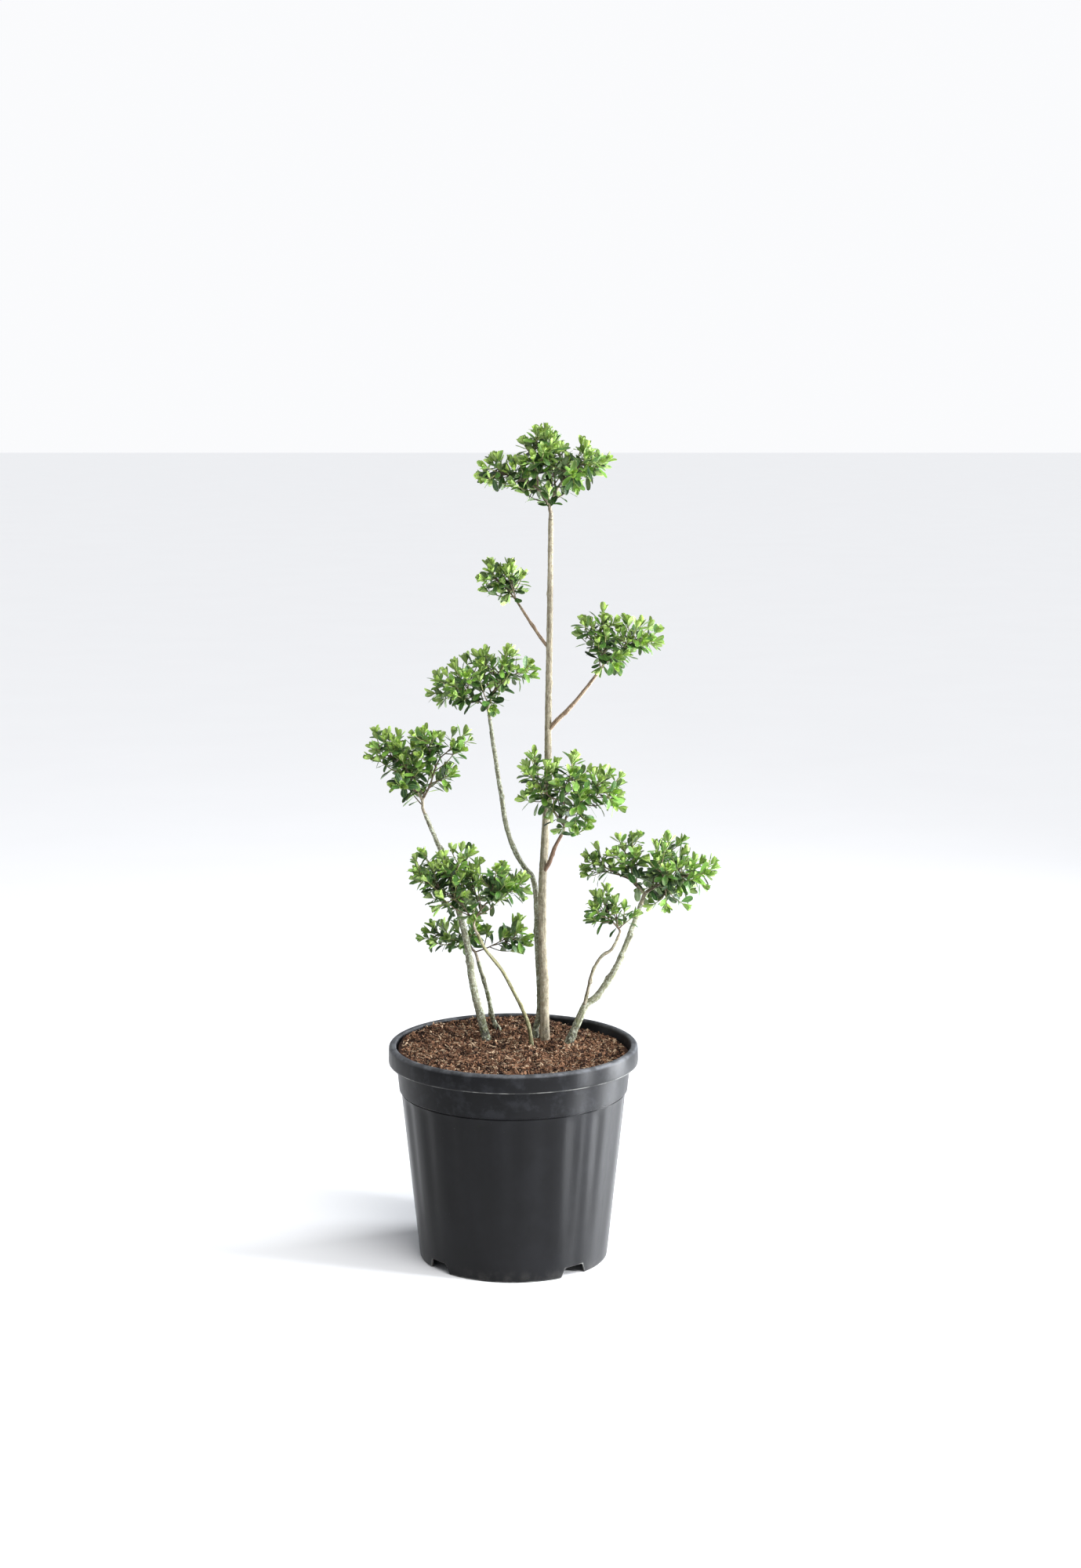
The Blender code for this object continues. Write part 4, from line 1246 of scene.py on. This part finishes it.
def leaf_face(name, colour, gloss):
    """A leaf's upper side: glossy, with a pale midrib and margin."""
    finish = Finish(f"leaf_{name}", colour, gloss)
    shares = finish.node("ShaderNodeUVMap", {"uv_map": "blade"})
    across = (finish.axis(shares, "X") - 0.5).size() * 2
    place = finish.place()
    tone = finish.noise(place, 60, 2).above(0.36, 0.64)
    base = finish.mix(tone, tuple(c * 0.70 for c in colour), tuple(c * 1.28 for c in colour))
    edge = (0.22 + colour[0] * 0.6, 0.32 + colour[1] * 0.6, 0.10 + colour[2] * 0.6)
    midrib = 1 - across.above(0.02, 0.12)
    margin = across.above(0.80, 0.97)
    finish.set("Base Color", finish.mix(midrib * 0.45 + margin * 0.50, base, edge))
    finish.set("Roughness", gloss + 0.12 * finish.noise(place, 300, 2))
    finish.bump(finish.noise(place, 700, 2), 0.00025, 0.5)
    return finish


def leaf_back(name, colour):
    """A leaf's underside: pale and matt, with a raised midrib."""
    finish = Finish(name, colour, 0.6)
    shares = finish.node("ShaderNodeUVMap", {"uv_map": "blade"})
    across = (finish.axis(shares, "X") - 0.5).size() * 2
    midrib = 1 - across.above(0.04, 0.16)
    tone = finish.noise(finish.place(), 60, 2).above(0.35, 0.65)
    base = finish.mix(tone, tuple(c * 0.75 for c in colour), tuple(c * 1.15 for c in colour))
    pale = tuple(min(c * 1.5 + 0.03, 1) for c in colour)
    finish.set("Base Color", finish.mix(midrib * 0.6, base, pale))
    return finish


def side_shoots(twig, name, crown, rng):
    """Shoots that leave a twig in turn round it, as long as the cloud's space allows."""
    back = SIDE_SHOOT_FIRST + rng.uniform(0, SIDE_SHOOT_STEP)
    turn = rng.uniform(0, 2 * math.pi)
    while back < twig.length - 0.004:
        place, heading, across, radius = twig.at(back)
        turn += GOLDEN_ANGLE + rng.uniform(-0.25, 0.25)
        tilt = SIDE_SHOOT_TILT + rng.uniform(-0.2, 0.2)
        out = way_out(heading, across, turn)
        start = math.cos(tilt) * heading + math.sin(tilt) * out
        least, most = SIDE_SHOOT_LENGTH
        reach = min(most, least + 0.35 * back) * rng.uniform(0.8, 1.1)
        for length in (reach, reach * 0.75, reach * 0.55):
            lifted = (start + UP * 0.35).normalized()
            bend = place + start * length * 0.5
            end = bend + lifted * length * 0.5
            if crown.holds([end + lifted * 0.006], name, 1.02):
                course = smooth_course([place, bend, end], TWIG_STEP, lifted * length * 0.5)
                shape = tube(course, [0.0012] * len(course), 3)
                if crown.misses_limbs(*shape):
                    yield Twig(course, max(min(radius * 0.75, 0.0011), TWIG_LEAST_RADIUS))
                    break
        back += SIDE_SHOOT_STEP * rng.uniform(0.8, 1.25)


def leaf_stations(shoot, rng):
    """(length back from the tip, size, tilt) of each leaf, from the foot of a shoot to its tip."""
    backs = []
    back = 0.0050
    while back < min(LEAFY_LENGTH, shoot.length - BARE_FOOT):
        backs.append(back)
        back += LEAF_SPACING * rng.uniform(0.8, 1.2)
    rows = []
    for back in backs[::-1]:
        age = min(back / 0.022, 1)
        size = (0.76 + 0.26 * age) * rng.uniform(0.84, 1.14)
        rows.append((back, size, math.radians(42 + 32 * age) + rng.uniform(-0.25, 0.25)))
    for k in range(CROWN_LEAVES):
        share = 1 - k / CROWN_LEAVES
        rows.append((0.0032 * share, 0.42 + 0.40 * share, math.radians(12 + 26 * share)))
    return rows


def leaf_kind(back, vigour, shade, rng):
    """How old a leaf looks: young at the tips of shoots in the light, older and darker deep inside, where the darkness
    is partly painted shade.
    """
    if back < 0.0035:
        return "young" if rng.random() < 0.25 + vigour else "fresh"
    if back < 0.012:
        return "fresh" if rng.random() < 0.35 + 0.5 * vigour else "grown"
    if back < 0.020 and vigour > 0.30:
        return "fresh" if rng.random() < 0.15 + 0.30 * vigour else "grown"
    # painted shade: leaves deep inside a cloud or low down take the two darkest kinds
    if shade > 0.60:
        return "oldest_and_shaded" if rng.random() < 0.5 else "deep"
    return rng.choice(("grown", "grown", "deep", "deep", "fresh" if vigour > 0.45 else "oldest_and_shaded"))


def clothe(shoot, name, crown, rng):
    """Sets the leaves of one shoot, each where it finds room."""
    tip, tip_heading, _, _ = shoot.at(0)
    depth, _ = crown.depth_of(tip, name)
    low, high = CLOUD_HEIGHTS[name]
    rise = (tip.z - low) / (high - low)
    light = 0.75 * rise + 0.45 * (depth - 0.6) + 0.30 * tip_heading.z + rng.gauss(0, 0.15)
    vigour = max(min(light * CLOUDS[name]["tender"], 1), 0)
    phase = rng.uniform(0, 2 * math.pi)
    sheared = rise > 0.55 and rng.random() < SHEARED_SHARE
    for k, (back, size, tilt) in enumerate(leaf_stations(shoot, rng)):
        place, heading, across, radius = shoot.at(back)
        young = back < 0.0035
        inside, _ = crown.depth_of(place, name)
        shade = (1 - inside) * 1.1 + 0.35 * (1 - rise)
        turn = phase + k * GOLDEN_ANGLE
        for shift, share, room in LEAF_TRIES:
            out = way_out(heading, across, turn + shift)
            along = (math.cos(tilt * share) * heading + math.sin(tilt * share) * out).normalized()
            face = heading + (0.1 if young else 0.9) * UP
            curl = rng.uniform(-0.16, -0.02) if young else rng.uniform(0.0, 0.28)
            fold = rng.uniform(0.30, 0.70) if young else rng.uniform(-0.20, 0.45)
            ripple = rng.uniform(0.0, 0.05)
            kept = rng.uniform(0.55, 0.75) if young and sheared else 1
            fit = size * room * (1.25 if kept < 1 else 1)
            breadth = rng.uniform(0.88, 1.12)
            root = place + out * radius * 0.5
            blade = Blade(root, along, face, fit, breadth, curl, fold, ripple, kept)
            outline = blade.outline()
            if not crown.holds(outline[0][1:], name):
                continue
            if crown.misses_limbs(*outline) and crown.has_room(blade):
                crown.add_leaf(leaf_kind(back, vigour, shade, rng), blade)
                break


def grow_cloud(name, limb, crown):
    rng = random.Random(name)
    ends = [end for owner, lobe in crown.lobes if owner == name for end in lobe.shoot_ends(rng)]
    rng = random.Random(f"{name} side shoots")
    foot = limb.tip - limb.heading * 0.002
    start = limb.tip + limb.heading * (GAP + STEM_LENGTH)
    twigs = []
    part_twigs([foot, start], limb.tip_radius, ends, twigs, FIRST_FORK_SHARE)
    stem, *others = twigs
    shoots = []
    for twig in [stem, *others]:
        shape = tube(twig.course, twig.radii, 3)
        if twig is not stem and not crown.misses_limbs(*shape):
            continue
        crown.add_wood(twig)
        shoots.append(twig)
        for side in side_shoots(twig, name, crown, rng):
            crown.add_wood(side)
            shoots.append(side)
    for shoot in shoots:
        clothe(shoot, name, crown, rng)


def twig_bark(name, colour):
    finish = Finish(f"twig_{name}", colour, 0.75)
    tone = finish.noise(finish.place(), 500, 3).above(0.35, 0.65)
    light = tuple(min(c * 1.35, 1) for c in colour)
    finish.set("Base Color", finish.mix(tone, tuple(c * 0.65 for c in colour), light))
    finish.bump(tone, 0.0002, 0.6)
    return finish


def dress_clouds(limbs):
    crown = Crown(limbs)
    for name, cloud in CLOUDS.items():
        grow_cloud(name, limbs[cloud["limb"]], crown)
    for kind, heap in crown.wood.items():
        finish = twig_bark(kind, TWIG_COLOURS[kind])
        add_piece(f"{kind}_twigs", heap.verts, heap.faces, finish, list(CLOUDS))
    for kind, blades in crown.leaves.items():
        add_blades(f"{kind}_leaves", leaf_face(kind, *LEAF_KINDS[kind]), blades, ACROSS)
    old = [blade for kind in ("oldest_and_shaded", "deep", "grown") for blade in crown.leaves[kind]]
    young = [blade for kind in ("fresh", "young") for blade in crown.leaves[kind]]
    for name, blades in (("old_backs", old), ("young_backs", young)):
        finish = leaf_back(name, BACK_COLOURS[name])
        add_blades(name, finish, blades, (-1.0, 0.0, 1.0), sink=LEAF_THICK, flip=True)
    print("leaves", {kind: len(blades) for kind, blades in crown.leaves.items()})


# Surroundings


def make_floor():
    mesh = bpy.data.meshes.new("floor")
    reach = 30
    corners = [(-reach, -reach, 0), (reach, -reach, 0), (reach, reach, 0), (-reach, reach, 0)]
    mesh.from_pydata(corners, [], [(0, 1, 2, 3)])
    floor = bpy.data.objects.new("floor", mesh)
    bpy.context.scene.collection.objects.link(floor)
    finish = Finish("pale_floor", roughness=0.6)
    grain = finish.noise(finish.place(), 3, 4)
    finish.set("Base Color", finish.mix(grain, (0.94, 0.94, 0.95), (0.97, 0.97, 0.98)))
    mesh.materials.append(finish.material)
    floor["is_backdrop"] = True


def add_light(name, place, aim, size, watts, colour=(1, 1, 1)):
    """A soft rectangular light that faces the plant."""
    lamp = bpy.data.lights.new(name, "AREA")
    lamp.shape = "RECTANGLE"
    lamp.size, lamp.size_y = size
    lamp.energy = watts
    lamp.color = colour
    light = bpy.data.objects.new(name, lamp)
    light.location = place
    light.rotation_euler = (Vector(aim) - Vector(place)).to_track_quat("-Z", "Y").to_euler()
    light.visible_camera = False
    bpy.context.scene.collection.objects.link(light)


def light_the_studio():
    sun = bpy.data.lights.new("overhead", "SUN")
    sun.energy = 2.75
    sun.angle = math.radians(45)
    overhead = bpy.data.objects.new("overhead", sun)
    overhead.rotation_euler = Vector((0.30, -0.50, 0.85)).to_track_quat("Z", "Y").to_euler()
    bpy.context.scene.collection.objects.link(overhead)
    add_light("left_softbox", (-2.6, 0.9, 1.2), (0, 0, 0.6), (0.8, 1.8), 7, (0.97, 0.98, 1))
    add_light("right_softbox", (2.0, 0.55, 0.55), (0, 0, 0.15), (0.9, 1.1), 105, (0.93, 0.96, 1))
    add_light("right_strip", (1.9, -0.78, 0.55), (0, 0, 0.15), (0.22, 1.1), 60, (0.93, 0.96, 1))
    world = bpy.data.worlds.new("studio")
    world.use_nodes = True
    bpy.context.scene.world = world
    tree = world.node_tree
    backdrop = tree.nodes["Background"]
    backdrop.inputs["Color"].default_value = (0.90, 0.94, 1, 1)
    backdrop.inputs["Strength"].default_value = 0.30
    seen = tree.nodes.new("ShaderNodeBackground")
    seen.inputs["Color"].default_value = (0.96, 0.965, 0.98, 1)
    path = tree.nodes.new("ShaderNodeLightPath")
    pick = tree.nodes.new("ShaderNodeMixShader")
    tree.links.new(path.outputs["Is Camera Ray"], pick.inputs["Fac"])
    tree.links.new(backdrop.outputs[0], pick.inputs[1])
    tree.links.new(seen.outputs[0], pick.inputs[2])
    tree.links.new(pick.outputs[0], tree.nodes["World Output"].inputs["Surface"])
    bpy.context.scene.view_settings.view_transform = "Standard"


def place_camera():
    camera = bpy.data.cameras.new("camera")
    camera.lens = CAMERA_LENS
    camera.shift_y = CAMERA_SHIFT
    viewer = bpy.data.objects.new("camera", camera)
    viewer.location = CAMERA_PLACE
    viewer.rotation_euler = (math.pi / 2 - CAMERA_TILT, 0, 0)
    bpy.context.scene.collection.objects.link(viewer)
    bpy.context.scene.camera = viewer


CLOUD_HEIGHTS = {
    name: (
        min(middle[2] - halves[2] for middle, halves, _ in cloud["lobes"]),
        max(middle[2] + halves[2] for middle, halves, _ in cloud["lobes"]),
    )
    for name, cloud in CLOUDS.items()
}

place_camera()
limbs = {
    name: Limb(name, form["course"], form["radii"], form.get("carrier"))
    for name, form in LIMBS.items()
}
dress_pot()
dress_soil()
dress_limbs(limbs)
dress_clouds(limbs)
make_floor()
light_the_studio()

boxes = [[list(corner) for corner in box] for box in (cad_box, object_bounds())]
